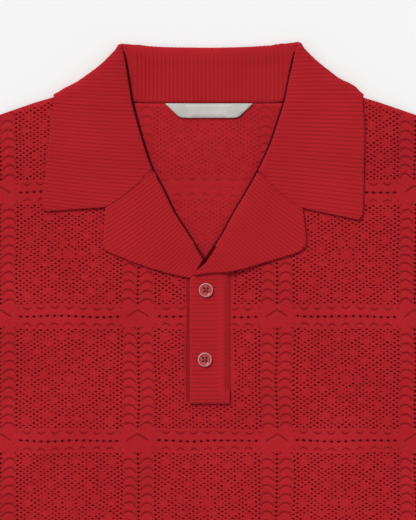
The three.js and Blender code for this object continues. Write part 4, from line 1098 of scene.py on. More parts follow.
def sleeve_piece(node, sign):
    """The two knitted layers of one sleeve as one piece."""
    hull = hull_outline(node)
    top, out = cuff_of(hull, sign)
    upper = HeightMap(node)
    lower = HeightMap(node, from_above=False)
    angle = math.atan2(-out[0], out[1])

    def plain(places):
        return (top - places) @ out < CUFF_DEPTH

    def upper_height(x, y):
        return upper.at(x, y) - SHEET_SINK + creased(x, y)

    def lower_height(x, y):
        return lower.at(x, y) + SHEET_SINK

    above = knit_layer(hull, top, angle, upper_height, plain)
    next_column = np.array([math.cos(angle), math.sin(angle)]) * CELL[0]
    below = knit_layer(hull, top + next_column, angle, lower_height, plain, down=-1, closed=LOWER_CLOSED)
    below["faces"] = below["faces"][:, ::-1] + len(above["points"])
    joined = {name: np.concatenate([above[name], below[name]])
              for name in ("points", "faces", "stitches")}
    marks = {name: np.concatenate([above["marks"][name], below["marks"][name]])
             for name in above["marks"]}
    return mesh_piece(node + "_knit", material=openwork_yarn, marks=marks, **joined)


sleeves = {"sleeve_left": sleeve_piece("sleeve_left", -1), "sleeve_right": sleeve_piece("sleeve_right", 1)}
print("triangles, sleeves:", [triangles(s) for s in sleeves.values()])

# %% [markdown]
# ## Rib trims
# The collar, lapels and placket bands are rib: soft round ridges with narrow grooves between. The
# imported pieces already have each rib as a sharp fold, so a copy is made, its triangles are joined
# back to four-sided faces, its long faces are cut shorter, and one round of subdivision rounds the
# ribs while creased rims keep their place. A vertex that lies lower than its neighbours is in a
# groove, and it is marked so that the material can paint shade into it.

# %% Rounded copies
LONGEST_FACE = 8 * MM
MOST_CUTS = 4
SAME_PLACE = 1e-6
JOIN_BENT = math.radians(40)
JOIN_SKEWED = math.radians(75)
RIM_ANGLE = math.radians(48)
RIM_CREASE = 0.85
# depth below the neighbours at which a groove's painted shade is full
GROOVE_FULL_SHADE = 0.085 * MM


def shorten(mesh_edit):
    """Cut edges in two until none is much longer than the longest face allowed."""
    for _ in range(MOST_CUTS):
        long = [e for e in mesh_edit.edges if e.calc_length() > LONGEST_FACE]
        if not long:
            return
        bmesh.ops.subdivide_edges(mesh_edit, edges=long, cuts=1, use_grid_fill=True)


def rounded_copy(node, name, material):
    """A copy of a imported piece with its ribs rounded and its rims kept."""
    mesh = frame["nodes"][node].data.copy()
    mesh.name = name
    edit = bmesh.new()
    edit.from_mesh(mesh)
    bmesh.ops.remove_doubles(edit, verts=edit.verts, dist=SAME_PLACE)
    bmesh.ops.join_triangles(edit, faces=edit.faces, angle_face_threshold=JOIN_BENT,
                             angle_shape_threshold=JOIN_SKEWED)
    shorten(edit)
    crease = edit.edges.layers.float.new("crease_edge")
    for edge in edit.edges:
        if len(edge.link_faces) == 2 and edge.calc_face_angle() > RIM_ANGLE:
            edge[crease] = RIM_CREASE
    edit.to_mesh(mesh)
    edit.free()
    mesh.materials.clear()
    mesh.materials.append(material)
    piece = add_object(name, mesh)
    smooth = piece.modifiers.new("rounding", "SUBSURF")
    smooth.levels = 1
    smooth.render_levels = 1
    shown = piece.evaluated_get(bpy.context.evaluated_depsgraph_get())
    done = bpy.data.meshes.new_from_object(shown)
    piece.modifiers.clear()
    piece.data = done
    done.shade_smooth()
    mark_grooves(done)
    return piece


def mark_grooves(mesh):
    """Store how far each vertex lies below its neighbours, from 0 to 1, as 'groove', which the material turns into
    painted shade.
    """
    count = len(mesh.vertices)
    place = np.zeros(count * 3)
    normal = np.zeros(count * 3)
    ends = np.zeros(len(mesh.edges) * 2, int)
    mesh.vertices.foreach_get("co", place)
    mesh.vertices.foreach_get("normal", normal)
    mesh.edges.foreach_get("vertices", ends)
    place = place.reshape(-1, 3)
    ends = ends.reshape(-1, 2)
    total = np.zeros((count, 3))
    near = np.zeros(count)
    for a, b in (ends.T, ends.T[::-1]):
        np.add.at(total, a, place[b])
        np.add.at(near, a, 1)
    below = ((total / near[:, None] - place) * normal.reshape(-1, 3)).sum(axis=1)
    layer = mesh.attributes.new("groove", "FLOAT", "POINT")
    layer.data.foreach_set("value", np.clip(below / GROOVE_FULL_SHADE, 0, 1))


print("a groove is darkest from, mm:", GROOVE_FULL_SHADE / MM)

# %% [markdown]
# ## Ribs on the leaves and lapels
# On the collar's two turned-back leaves and on the lapels the ribs stand 3.4 to 4.1 mm apart, and
# their lines turn slowly over the cloth. The imported ribs are smoothed away there, the upper faces
# are cut finer so that they can carry new ones, and the points are moved up and down to round
# ribs. Each point also keeps its count of ribs, so that the material paints shade into the
# grooves in step with the shape.

# %% Lines of the ribs
# the inner edges of the turned-back collar, in mm
COLLAR_EDGE = {"y": [235.7, 262.7, 295.7, 342.0], "left": [-50.2, -58.5, -66.8, -75.8],
               "right": [49.4, 58.4, 68.0, 77.5]}
# how far the collar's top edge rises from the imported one, in mm, and where that begins and ends
TOP_EDGE = {
    "x": [-84.0, -78.0, -66.0, -60.0, -54.0, -40.0, 0.0, 40.0, 52.0, 60.0, 64.0, 70.0, 77.0, 83.0, 88.0],
    "rise": [0.0, 1.8, 0.2, 0.4, 1.4, 1.0, 0.6, 0.8, 0.9, 0.6, -1.0, -1.2, -0.2, 1.1, 0.0],
    "begins": 331.0, "ends": 344.0,
}
# a place that a rib passes, its slope there, how the slope turns over the cloth, and the spacing
RIB_LINES = {
    "leaf_left": {"x": -100.0, "y": 258.8, "slope": -0.07,
                  "turn_up": 0.0005, "turn_across": 0.0011, "pitch": 3.38},
    "leaf_right": {"x": 100.0, "y": 258.8, "slope": -0.055,
                   "turn_up": 0.0013, "turn_across": 0.0, "pitch": 3.7},
    "lapel_left": {"x": -56.0, "y": 190.0, "slope": 0.76,
                   "turn_up": 0.0, "turn_across": 0.0044, "pitch": 4.1},
    "lapel_right": {"x": 47.0, "y": 190.0, "slope": -0.82,
                    "turn_up": 0.0, "turn_across": 0.0031, "pitch": 4.1},
}
print("rib spacings, mm:", [line["pitch"] for line in RIB_LINES.values()])

# %% Raising the ribs
SMOOTHING = {"rounds": 14, "step": 0.5, "level": 0.85}
UPPER = 0.6
FINE_ENOUGH = 0.8 * MM
RIB_HEIGHT = 0.28 * MM
RIB_SUNK = 0.6


def mesh_array(items, name, size, kind=float):
    """Numbers of a mesh's items as an array."""
    values = np.zeros(len(items) * size, kind)
    items.foreach_get(name, values)
    return values.reshape(-1, size) if size > 1 else values


def rib_count(places, line):
    """Ribs counted across a leaf, whose lines may turn slowly over it."""
    across = places[:, 0] / MM - line["x"]
    up = places[:, 1] / MM - line["y"]
    bent = (line["slope"] * across + line["turn_up"] * across * up
            + line["turn_across"] * across ** 2 / 2)
    return (up - bent) / line["pitch"]


def count_ribs(places, regions):
    """Ribs counted at each place, and which places the regions hold."""
    count = np.zeros(len(places))
    lined = np.zeros(len(places), bool)
    for line, region in regions:
        here = region(places / MM)
        count[here] = rib_count(places[here], line)
        lined |= here
    return count, lined


def finer(mesh, regions):
    """Cut the upper faces in some regions finer, so that they can carry ribs."""
    edit = bmesh.new()
    edit.from_mesh(mesh)
    edit.verts.ensure_lookup_table()
    lined = count_ribs(np.array([v.co for v in edit.verts]), regions)[1]
    upper = [lined[v.index] and v.normal.z > UPPER for v in edit.verts]
    edges = [e for e in edit.edges
             if all(upper[v.index] for v in e.verts) and e.calc_length() > FINE_ENOUGH]
    bmesh.ops.subdivide_edges(edit, edges=edges, cuts=1, use_grid_fill=True)
    edit.to_mesh(mesh)
    edit.free()


def draw_ribs(mesh, regions):
    """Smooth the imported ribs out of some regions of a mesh, and raise new ribs there."""
    places = mesh_array(mesh.vertices, "co", 3)
    normals = mesh_array(mesh.vertices, "normal", 3)
    ends = mesh_array(mesh.edges, "vertices", 2, int)
    free = count_ribs(places, regions)[1] & (normals[:, 2] > SMOOTHING["level"])
    near = np.bincount(ends.ravel(), minlength=len(places))
    for _ in range(SMOOTHING["rounds"]):
        total = np.bincount(ends[:, 0], places[ends[:, 1], 2], len(places))
        total += np.bincount(ends[:, 1], places[ends[:, 0], 2], len(places))
        places[free, 2] += SMOOTHING["step"] * (total[free] / near[free] - places[free, 2])
    mesh.vertices.foreach_set("co", places.ravel())
    mesh.update()
    finer(mesh, regions)
    places = mesh_array(mesh.vertices, "co", 3)
    upward = np.clip((mesh_array(mesh.vertices, "normal", 3)[:, 2] - UPPER) / (1 - UPPER), 0, 1)
    count, lined = count_ribs(places, regions)
    rounded = np.abs(np.sin(math.pi * count)) ** RIB_ROUNDNESS
    places[:, 2] += RIB_HEIGHT * (rounded - RIB_SUNK) * upward * lined
    mesh.vertices.foreach_set("co", places.ravel())
    mesh.attributes.new("rib_count", "FLOAT", "POINT").data.foreach_set("value", count)
    mesh.attributes.new("lined", "FLOAT", "POINT").data.foreach_set("value", lined.astype(float))
    groove = mesh.attributes["groove"].data
    groove.foreach_set("value", np.where(lined, 0, mesh_array(groove, "value", 1)))
    mesh.update()


print("ribs rise and sink over, mm:", RIB_HEIGHT / MM)

# %% Where the ribs go
# how far outside its inner edge a leaf begins, in mm
ROLL_CLEAR = 0.4


def left_leaf(places):
    """Which places, in mm, belong to the collar's turned-back leaf on the left."""
    return places[:, 0] < np.interp(places[:, 1], COLLAR_EDGE["y"], COLLAR_EDGE["left"]) - ROLL_CLEAR


def right_leaf(places):
    """Which places, in mm, belong to the collar's turned-back leaf on the right."""
    return places[:, 0] > np.interp(places[:, 1], COLLAR_EDGE["y"], COLLAR_EDGE["right"]) + ROLL_CLEAR


def everywhere(places):
    """Every place of a lapel carries ribs."""
    return np.ones(len(places), bool)


def settle_top_edge(mesh):
    """Move the collar's top edge up or down a little, by what TOP_EDGE gives along it."""
    places = mesh_array(mesh.vertices, "co", 3)
    rise = np.interp(places[:, 0] / MM, TOP_EDGE["x"], TOP_EDGE["rise"])
    share = np.interp(places[:, 1] / MM, [TOP_EDGE["begins"], TOP_EDGE["ends"]], [0, 1])
    places[:, 1] += rise * share * MM
    mesh.vertices.foreach_set("co", places.ravel())


print("collar's inner edge starts at y, mm:", COLLAR_EDGE["y"][0])

# %% Rib pieces
RIBBED = ["collar", "lapel_left", "lapel_right", "placket_upper", "placket_under"]
ribs = {node: rounded_copy(node, node + "_rib", rib_yarn) for node in RIBBED}
leaves = [(RIB_LINES["leaf_left"], left_leaf), (RIB_LINES["leaf_right"], right_leaf)]
draw_ribs(ribs["collar"].data, leaves)
settle_top_edge(ribs["collar"].data)
for node in ("lapel_left", "lapel_right"):
    draw_ribs(ribs[node].data, [(RIB_LINES[node], everywhere)])
for piece in ribs.values():
    piece.data.shade_smooth()
print("triangles, rib pieces:", {node: triangles(piece) for node, piece in ribs.items()})

# %% [markdown]
# ## Stitches and linked seams
# Sewing is what makes panels a garment. A seam stitch is a short round-ended length of thread, so
# one small shape is copied along a line, laid on whatever is below it, and all copies are joined
# into one mesh. Linked seams between knitted pieces are a narrow chain, drawn here as a low cord
# of yarn along the armholes, side seams and shoulders, round the neck and beside the placket. The
# cords round the neck and beside the placket are near black: a painted shadow under the rolled
# collar and beside the band.

# %% Stitch runs
STITCH_SIDES = 6
# rings of a stitch: their places along its half length, and their shares of its thickness
STITCH_RINGS = [(-1.0, 0.35), (-0.7, 0.9), (0.0, 1.0), (0.7, 0.9), (1.0, 0.35)]
STITCH_RISE = 0.5
STITCH_DIP = 0.9


def top_height(nodes):
    """A function that gives the highest packed face of some nodes at a place."""
    trees = [packed_tree(node) for node in nodes]

    def height(x, y):
        hits = [tree.ray_cast(Vector((x, y, FAR)), Vector((0, 0, -1)))[0] for tree in trees]
        return max((hit.z for hit in hits if hit is not None), default=0.0)

    return height


def even_points(line, spacing):
    """Places evenly spaced along a line of points, with the direction at each."""
    line = np.array(line, float)
    run = np.diff(line, axis=0)
    length = np.hypot(*run.T)
    travelled = np.concatenate([[0], np.cumsum(length)])
    places = []
    for distance in np.arange(spacing / 2, travelled[-1], spacing):
        k = min(np.searchsorted(travelled, distance) - 1, len(run) - 1)
        k = max(k, 0)
        share = (distance - travelled[k]) / length[k]
        places.append((line[k] + run[k] * share, run[k] / length[k]))
    return places


def stitch_run(name, lines, height, spacing, long, thick, material):
    """Stitches along lines in the plane, laid on a height function, as one piece."""
    points = []
    faces = []
    for line in lines:
        for place, way in even_points(line, spacing):
            side = np.array([-way[1], way[0]])
            z = height(*place)
            start = len(points)
            for along, share in STITCH_RINGS:
                spot = place + way * along * long / 2
                sink = thick * (STITCH_RISE - STITCH_DIP * along ** 2)
                for k in range(STITCH_SIDES):
                    angle = 2 * math.pi * k / STITCH_SIDES
                    flat = spot + side * math.cos(angle) * thick * share
                    points.append((*flat, z + sink + math.sin(angle) * thick * share))
            for ring in range(len(STITCH_RINGS) - 1):
                for k in range(STITCH_SIDES):
                    a = start + ring * STITCH_SIDES + k
                    b = start + ring * STITCH_SIDES + (k + 1) % STITCH_SIDES
                    faces.append((a, b, b + STITCH_SIDES, a + STITCH_SIDES))
    return mesh_piece(name, np.array(points), np.array(faces), material)


on_placket = top_height(["placket_upper", "front"])
print("sides of a stitch:", STITCH_SIDES)

# %% Hem and placket stitching
STITCHES = {
    "hem": {"spacing": 3.2 * MM, "long": 2.2 * MM, "thick": 0.22 * MM},
    "placket": {"spacing": 2.6 * MM, "long": 2.1 * MM, "thick": 0.26 * MM},
    "label": {"spacing": 2.4 * MM, "long": 1.6 * MM, "thick": 0.13 * MM},
}
HEM_LINE = {"half": 0.2745, "below_top": 1.5 * MM}
PLACKET_LINE = {"from_right": 4.6 * MM, "from_left": 1.2 * MM, "from_low": 1.2 * MM,
                "from_top": 8 * MM, "cross": 1.3 * MM}


def hem_seat(x, y):
    """Height of the front's sheet at one place."""
    return float(front_height(x, y))


hem_top = hem_y + HEM_DEPTH - HEM_LINE["below_top"]
hem_run = [(-HEM_LINE["half"], hem_top), (HEM_LINE["half"], hem_top)]
hem_stitches = stitch_run("hem_stitches", [hem_run], hem_seat, material=thread, **STITCHES["hem"])
placket_low, placket_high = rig.box("placket_upper")
placket_line = placket_high.x - PLACKET_LINE["from_right"]
cross_y = placket_low.y + PLACKET_LINE["cross"]
placket_runs = [
    [(placket_line, placket_low.y + PLACKET_LINE["from_low"]),
     (placket_line, placket_high.y - PLACKET_LINE["from_top"])],
    [(placket_low.x + PLACKET_LINE["from_left"], cross_y), (placket_line, cross_y)],
]
placket_stitches = stitch_run("placket_stitches", placket_runs, on_placket,
                              material=thread, **STITCHES["placket"])
print("placket seam at x, mm:", round(placket_line / MM, 1))

# %% [markdown]
# Cords of yarn stand for the linked seams. A cord follows a line, a little flattened, and swells
# once for each loop, so that it reads as a row of loops.

# %% Seam cords
SEAM_SIDES = 8


def seam_cord(name, line, height, wide, high, material, loop=2.4 * MM, swelling=0.16):
    """A low cord along a line, its width swelling once for each loop of the linking."""
    places = even_points(line, loop / 4)
    points = []
    faces = []
    for i, (place, way) in enumerate(places):
        side = np.array([-way[1], way[0]])
        swell = 1 + swelling * math.sin(math.pi * i / 2)
        z = height(*place)
        for k in range(SEAM_SIDES):
            angle = 2 * math.pi * k / SEAM_SIDES
            flat = place + side * math.cos(angle) * wide / 2 * swell
            points.append((*flat, z + math.sin(angle) * high / 2 * swell))
    for i in range(len(places) - 1):
        for k in range(SEAM_SIDES):
            a = i * SEAM_SIDES + k
            b = i * SEAM_SIDES + (k + 1) % SEAM_SIDES
            faces.append((a, b, b + SEAM_SIDES, a + SEAM_SIDES))
    last_ring = range((len(places) - 1) * SEAM_SIDES, len(places) * SEAM_SIDES)
    ends = [range(SEAM_SIDES)[::-1], last_ring]
    piece = mesh_piece(name, np.array(points), np.array(faces), material)
    edit = bmesh.new()
    edit.from_mesh(piece.data)
    edit.verts.ensure_lookup_table()
    for end in ends:
        edit.faces.new([edit.verts[k] for k in end])
    edit.to_mesh(piece.data)
    edit.free()
    return piece


def stretch_of(outline, keep):
    """The stretch of an outline whose points pass a test, in order."""
    flags = [bool(keep(p)) for p in outline]
    starts = [k for k in range(len(flags)) if flags[k] and not flags[k - 1]]
    best = []
    for start in starts:
        run = []
        k = start
        while flags[k % len(flags)] and len(run) < len(flags):
            run.append(outline[k % len(flags)])
            k += 1
        best = run if len(run) > len(best) else best
    return np.array(best)


print("sides of a seam cord:", SEAM_SIDES)

# %% Seams of the front's outline
# how far out from the middle and how far up each seam runs, in metres, and the size of its cord
FRONT_SEAMS = {
    "armhole_seam": {"out": (0.233, 1.0), "up": (0.0187, 1.0),
                     "sunk": 0.5 * MM, "wide": 2.0 * MM, "high": 1.3 * MM},
    "side_seam": {"out": (0.27, 1.0), "up": (-1.0, 0.0188),
                  "sunk": 1.4 * MM, "wide": 1.8 * MM, "high": 1.6 * MM},
    "shoulder_seam": {"out": (0.135, 0.2371), "up": (0.26, 1.0),
                      "sunk": 1.5 * MM, "wide": 1.8 * MM, "high": 1.8 * MM},
}


def front_seam(name, sign, seam):
    """A cord along a stretch of the front's outline. sign is -1 on the left."""
    def on_seam(place):
        return (seam["out"][0] < sign * place[0] < seam["out"][1]
                and seam["up"][0] < place[1] < seam["up"][1])

    def height(x, y):
        return float(front_map.at(x, y)) - seam["sunk"]

    line = stretch_of(front_outline, on_seam)
    return seam_cord(name, line, height, seam["wide"], seam["high"], rib_yarn)


seams = {}
for side, sign in (("left", -1), ("right", 1)):
    for kind, seam in FRONT_SEAMS.items():
        name = kind + "_" + side
        seams[name] = front_seam(name, sign, seam)
print("seams of the front's outline:", len(seams))

# %% Seams round the neck
NECK_POINT = (-2.6 * MM, 154.5 * MM)
NECK_EDGE = {"low": 176 * MM, "high": 343 * MM, "step": 1.5 * MM, "shown": 0.9 * MM,
             "widest": 95 * MM}
LAPEL_EDGE = {"from": 46 * MM, "to": 92 * MM, "step": 2 * MM, "top": 235 * MM, "low": 190 * MM,
              "above": 0.2 * MM}
SCAN = 0.5 * MM
EVENING = 12
# each cord's size, how far it lies above the cloth, and where the neck's height is read
NECK_CORD = {"wide": 2.2 * MM, "high": 1.3 * MM, "loop": 2.8 * MM, "swelling": 0.3}
GORGE_CORD = {"wide": 1.3 * MM, "high": 0.9 * MM}
PLACKET_CORD = {"wide": 1.1 * MM, "high": 0.8 * MM}
LIFT = {"neck": 0.35 * MM, "gorge": -0.25 * MM, "placket": 0.35 * MM}
INWARD = 0.98
BESIDE_PLACKET = {"left": 0.3 * MM, "low": 1.0 * MM, "top": 6 * MM}
neck_top = top_height(["collar", "lapel_left", "lapel_right", "back"])


def neck_edge(sign):
    """The line where the turned-back collar and lapel rise over the inside of the neck."""
    line = [NECK_POINT]
    for y in np.arange(NECK_EDGE["low"], NECK_EDGE["high"], NECK_EDGE["step"]):
        heights = [neck_top(sign * x, y) for x in np.arange(0, NECK_EDGE["widest"], SCAN)]
        rises = [k for k in range(1, len(heights)) if heights[k] - heights[k - 1] > SCAN]
        if rises:
            line.append((sign * (rises[0] * SCAN - NECK_EDGE["shown"]), y))
    line = np.array(line)
    for _ in range(EVENING):
        line[2:-1] = (line[1:-2] + 2 * line[2:-1] + line[3:]) / 4
    return line


def lapel_seam(node, sign):
    """The line where a lapel's upper edge meets the collar."""
    only = top_height([node])
    line = []
    for x in np.arange(LAPEL_EDGE["from"], LAPEL_EDGE["to"], LAPEL_EDGE["step"]):
        for y in np.arange(LAPEL_EDGE["top"], LAPEL_EDGE["low"], -SCAN):
            if only(sign * x, y) > 0:
                line.append((sign * x, y + LAPEL_EDGE["above"]))
                break
    return line


def on_neck(x, y):
    """Height of a cord round the neck, read a little nearer the middle."""
    return neck_top(x * INWARD, y) + LIFT["neck"]


def on_gorge(x, y):
    """Height of the cord between a lapel and the collar, read a little towards the lapel."""
    return neck_top(x, y - MM) + LIFT["gorge"]


def beside_placket(x, y):
    """Height of the cord beside the upper placket band."""
    return placket_top(x, y) + LIFT["placket"]


placket_top = top_height(["placket_under", "front"])
# the cords round the neck and beside the placket are in the near-black linking yarn, a painted shadow
for side, sign in (("left", -1), ("right", 1)):
    name = "neck_linking_" + side
    seams[name] = seam_cord(name, neck_edge(sign), on_neck, material=painted_shadow_linking_yarn, **NECK_CORD)
    name = "gorge_seam_" + side
    gorge = lapel_seam("lapel_" + side, sign)
    seams[name] = seam_cord(name, gorge, on_gorge, material=rib_yarn, **GORGE_CORD)
placket_left = placket_low.x - BESIDE_PLACKET["left"]
placket_run = [(placket_left, placket_low.y + BESIDE_PLACKET["low"]),
               (placket_left, placket_high.y - BESIDE_PLACKET["top"])]
seams["placket_linking"] = seam_cord("placket_linking", placket_run, beside_placket,
                                     material=painted_shadow_linking_yarn, **PLACKET_CORD)
print("linked seams:", {k: triangles(v) for k, v in seams.items()})

# %% [markdown]
# ## Label
# The neck label is a short satin ribbon with its ends folded behind on a slant, sewn in along its
# top edge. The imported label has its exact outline. A copy of it is cut into small faces and its
# lower edge is lifted a little, because a stiff ribbon doesn't lie quite flat.

# %% Label
LABEL_LIFT = 0.35 * MM
LABEL_SEAM = {"below_top": 1.0 * MM, "from_end": 2 * MM}
label = rounded_copy("label", "label_satin_ribbon", satin)
label_low, label_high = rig.box("label")
for vertex in label.data.vertices:
    drop = (label_high.y - vertex.co.y) / (label_high.y - label_low.y)
    vertex.co.z += LABEL_LIFT * drop ** 2
label_line = label_high.y - LABEL_SEAM["below_top"]
label_run = [(label_low.x + LABEL_SEAM["from_end"], label_line),
             (label_high.x - LABEL_SEAM["from_end"], label_line)]
label_stitches = stitch_run("label_stitches", [label_run], top_height(["label"]),
                            material=satin, **STITCHES["label"])
print("label, mm:", [round(v / MM, 1) for v in label_high - label_low])

# %% [markdown]
# ## Buttons
# A 20 ligne four-hole shirt button is turned from a resin blank: a rounded rim stands round a
# shallow dish, and the holes are drilled. Its outline is turned round the middle as rings of
# points, the holes are cut with a boolean, and four-strand thread crosses the holes.

# %% Buttons
RIM_STEPS = 64
HOLE_RADIUS = 0.85 * MM
HOLE_SPREAD = 1.55 * MM
EDGE_STEPS = 6
EDGE_ROUND = 0.6 * MM
EDGE_FLAT = 0.06 * MM
THIN_FROM = 1.15 * MM
# the section's points: a share of the radius and mm from it, a share of the thickness and mm from it
UNDERSIDE = [(0.0, 0.0, 0.0, 0.0), (0.5, 0.0, 0.0, 0.0), (1.0, -0.7, 0.0, 0.05)]
UPPERSIDE = [(1.0, -0.6, 1.0, 0.0), (1.0, -1.0, 1.0, -0.12), (1.0, -1.35, 1.0, -0.6),
             (1.0, -1.9, 1.0, -0.8), (0.35, 0.0, 1.0, -0.85), (0.0, 0.0, 1.0, -0.86)]
STRAND = {"apart": 0.16 * MM, "thick": 0.24 * MM, "below_top": 0.55 * MM, "long": 1.04}


def button_section(radius, thick):
    """Radius and height pairs of the button's section, from the middle below to the middle above."""
    below, above = ([(share * radius + out * MM, part * thick + up * MM)
                     for share, out, part, up in rows] for rows in (UNDERSIDE, UPPERSIDE))
    edge = []
    for k in range(1, EDGE_STEPS):
        angle = -math.pi / 2 + math.pi * k / EDGE_STEPS
        edge.append((radius - EDGE_ROUND + EDGE_ROUND * math.cos(angle),
                     thick / 2 + (thick / 2 - EDGE_FLAT) * math.sin(angle)))
    return below + edge + above


def turned_piece(name, rows, centre, material):
    """A piece turned from a section round an upright line through centre."""
    edit = bmesh.new()
    rings = []
    for radius, z in rows:
        if radius == 0:
            rings.append([edit.verts.new((centre.x, centre.y, centre.z + z))])
            continue
        rings.append([edit.verts.new((centre.x + radius * math.cos(2 * math.pi * k / RIM_STEPS),
                                      centre.y + radius * math.sin(2 * math.pi * k / RIM_STEPS),
                                      centre.z + z)) for k in range(RIM_STEPS)])
    for low, high in zip(rings, rings[1:]):
        for k in range(RIM_STEPS):
            n = (k + 1) % RIM_STEPS
            corners = [low[k % len(low)], low[n % len(low)], high[n % len(high)], high[k % len(high)]]
            edit.faces.new(list(dict.fromkeys(corners)))
    mesh = bpy.data.meshes.new(name)
    edit.to_mesh(mesh)
    edit.free()
    mesh.materials.append(material)
    mesh.shade_smooth()
    return add_object(name, mesh)


def button_piece(node):
    """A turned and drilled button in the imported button's place."""
    low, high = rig.box(node)
    middle = Vector(((low.x + high.x) / 2, (low.y + high.y) / 2, low.z))
    radius = (high.x - low.x) / 2
    thick = high.z - low.z
    button = turned_piece(node + "_resin", button_section(radius, thick), middle, rim_resin)
    drill_rows = [(0.0, -MM), (HOLE_RADIUS, -MM), (HOLE_RADIUS, thick + MM), (0.0, thick + MM)]
    for x, y in ((-1, -1), (1, -1), (-1, 1), (1, 1)):
        place = middle + Vector((x, y, 0)) * HOLE_SPREAD
        drill = turned_piece("drill", drill_rows, place, rim_resin)
        cut = button.modifiers.new("hole", "BOOLEAN")
        cut.operation = "DIFFERENCE"
        cut.object = drill
        shown = button.evaluated_get(bpy.context.evaluated_depsgraph_get())
        drilled = bpy.data.meshes.new_from_object(shown)
        button.modifiers.clear()
        button.data = drilled
        bpy.data.objects.remove(drill)
    button.data.materials.clear()
    button.data.materials.append(rim_resin)
    button.data.materials.append(middle_resin_painted_show_through)
    # faces of the thin middle take the resin whose red is a painted show-through of the cloth
    inner = radius - THIN_FROM
    for polygon in button.data.polygons:
        away = (polygon.center - middle).xy.length
        polygon.material_index = 1 if away < inner else 0
    return button


def button_thread(node):
    """Thread crossing a button's four holes, two strands each way."""
    low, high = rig.box(node)
    middle = np.array([(low.x + high.x) / 2, (low.y + high.y) / 2])
    lines = []
    for sign in (-1, 1):
        way = np.array([1.0, sign]) * HOLE_SPREAD
        side = np.array([-sign, 1.0]) * STRAND["apart"]
        lines += [[middle - way + side, middle + way + side], [middle - way - side, middle + way - side]]
    reach = 2 * HOLE_SPREAD * math.sqrt(2)
    seat = high.z - STRAND["below_top"]
    return stitch_run(node + "_thread", lines, lambda x, y: seat, spacing=reach,
                      long=reach * STRAND["long"], thick=STRAND["thick"], material=thread)


buttons = {node: button_piece(node) for node in ("button_upper", "button_lower")}
button_threads = {node: button_thread(node) for node in buttons}
print("triangles, buttons:", [triangles(b) for b in buttons.values()])

# %% [markdown]
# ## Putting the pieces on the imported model
# Each new piece rides on the one rigid body, takes a slot of the record, and where it stands for a
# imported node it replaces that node. Each sheet of cloth is declared with the width and length it was
# cut to, and with its area: a packed wall's volume over its cloth's thickness, but no more than
# width times length.

# %% Ride, replace and declare
BODY_CLOTH = 1.5 * MM
RIB_CLOTH = 1.8 * MM
LABEL_CLOTH = 1.0 * MM
SAME_POINT = 1e-7
# the width and length that each sheet was cut to, in metres
CUTS = {
    "back": (0.566, 0.665), "front": (0.566, 0.665),
    "sleeve_left": (0.50, 0.20), "sleeve_right": (0.50, 0.20),
    "collar": (0.46, 0.13), "lapel_left": (0.10, 0.075), "lapel_right": (0.10, 0.072),
    "placket_upper": (0.037, 0.135), "placket_under": (0.0316, 0.12), "label": (0.0794, 0.013),
}
SLOTS = {"knit": "openwork_knit", "rib": "rib_knit", "resin": "button_resin", "satin": "label_satin"}


def wall_area(node, thick):
    """Area of a packed wall's cloth, from its volume."""
    edit = bmesh.new()
    edit.from_mesh(frame["nodes"][node].data)
    bmesh.ops.remove_doubles(edit, verts=edit.verts, dist=SAME_POINT)
    volume = abs(edit.calc_volume())
    edit.free()
    return volume / thick


def settle(piece, slot, *nodes):
    """Let a piece ride on the shirt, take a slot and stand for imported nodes."""
    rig.ride(piece, "root")
    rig.slot(piece, SLOTS[slot])
    if nodes:
        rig.replaces(piece, *nodes)


def cut_of(node, thick):
    """A sheet's cut as its width and length, and its area."""
    wide, long = CUTS[node]
    return {"flat": (wide, long), "area": min(wall_area(node, thick), wide * long)}


settle(front, "knit", "front")
settle(back, "knit", "back")
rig.sheet(back, held="laid", rests_on=[], **cut_of("back", BODY_CLOTH))
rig.sheet(front, held="laid", rests_on=[back], **cut_of("front", BODY_CLOTH))
for node, piece in sleeves.items():
    settle(piece, "knit", node)
    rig.sheet(piece, held="laid", rests_on=[], **cut_of(node, BODY_CLOTH))
for node, piece in ribs.items():
    settle(piece, "rib", node)
    held = "folded" if node in ("collar", "lapel_left", "lapel_right") else "laid"
    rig.sheet(piece, held=held, rests_on=[front], **cut_of(node, RIB_CLOTH))
settle(label, "satin", "label")
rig.sheet(label, held="laid", rests_on=[back], **cut_of("label", LABEL_CLOTH))
for node, piece in buttons.items():
    settle(piece, "resin", node)
sewing = (hem_stitches, placket_stitches, label_stitches, *button_threads.values())
for piece in (*sewing, *seams.values()):
    settle(piece, "rib")
print("pieces:", len(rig.pieces()))

# %% [markdown]
# ## Floor, camera and light
# The photograph is a cut-out on near-white, so the floor is a plain pale board. The camera looks
# straight down with a long lens, 0.90 mm of cloth to a pixel of the 416 by 520 picture. The light is
# one far lamp to the upper left, wide enough for soft shadows, and an even white world that fills
# them, so that ribs and eyelets are gently shaded.

# %% Floor
def floor_material():
    """Matt painted board, with a trace of unevenness."""
    material, tree = new_material("matt_painted_board")
    place = add(tree, "ShaderNodeTexCoord").outputs["Object"]
    grain = add(tree, "ShaderNodeTexNoise", None, {"Vector": place, "Scale": scale_for(333)})
    colour = add(tree, "ShaderNodeMix", {"data_type": "RGBA"},
                 {0: grain.outputs["Fac"], 6: linear("#F7F7F7"), 7: linear("#F9F9F9")})
    shade = add(tree, "ShaderNodeBsdfPrincipled", None,
                {"Base Color": colour.outputs[2], "Roughness": 0.9, "Specular IOR Level": 0.1})
    add(tree, "ShaderNodeOutputMaterial", None, {"Surface": shade})
    return material


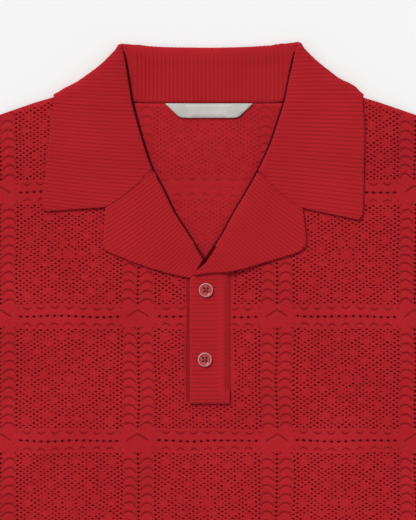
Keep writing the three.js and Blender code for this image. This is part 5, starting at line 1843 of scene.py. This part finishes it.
FLOOR_HALF = 3.0
FLOOR_HEIGHT = -0.4 * MM
floor_mesh = bpy.data.meshes.new("floor")
corners = [(x * FLOOR_HALF, y * FLOOR_HALF, FLOOR_HEIGHT) for x, y in ((-1, -1), (1, -1), (1, 1), (-1, 1))]
floor_mesh.from_pydata(corners, [], [(0, 1, 2, 3)])
floor_mesh.materials.append(floor_material())
floor = add_object("floor", floor_mesh)
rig.stage(floor)
print("floor, m:", 2 * FLOOR_HALF)

# %% Camera
PICTURE = (416, 520)
SCALE = 0.90 * MM
PICTURE_MIDDLE = Vector((0.45 * MM, 154.66 * MM, 6 * MM))
LENS_MM = 85.0
SENSOR_MM = 36.0
camera_data = bpy.data.cameras.new("camera")
camera_data.lens = LENS_MM
camera_data.sensor_width = SENSOR_MM
distance = PICTURE[1] * SCALE * LENS_MM / SENSOR_MM
camera = add_object("camera", camera_data)
camera.location = PICTURE_MIDDLE + Vector((0, 0, distance))
bpy.context.scene.camera = camera
print("camera height, m:", round(distance, 3))

# %% Light
KEY_FROM = Vector((-0.5, 0.75, 0.95))
KEY_POWER = 2.1
KEY_SPREAD = math.radians(22)
WORLD_STRENGTH = 0.49
key_data = bpy.data.lights.new("far_soft_panel", "SUN")
key_data.energy = KEY_POWER
key_data.angle = KEY_SPREAD
key = add_object("far_soft_panel", key_data)
key.rotation_euler = KEY_FROM.to_track_quat("Z", "Y").to_euler()
world = bpy.data.worlds.new("studio")
world.use_nodes = True
background = world.node_tree.nodes["Background"]
background.inputs["Color"].default_value = (1, 1, 1, 1)
background.inputs["Strength"].default_value = WORLD_STRENGTH
bpy.context.scene.world = world
bpy.context.scene.view_settings.view_transform = "Standard"
print("lamp and world:", KEY_POWER, WORLD_STRENGTH)

# %% [markdown]
# ## Sizes and finish
# Both boxes, the imported model's and the dressed shirt's, are written down before the model is
# finished.

# %% Sizes
visual_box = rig.bounds()
with open("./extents.json", "w") as sizes:
    json.dump({"cad": [list(c) for c in cad_box], "visual": [list(c) for c in visual_box]}, sizes)
print("visual box, mm:", [round((b - a) / MM, 1) for a, b in zip(*visual_box)])
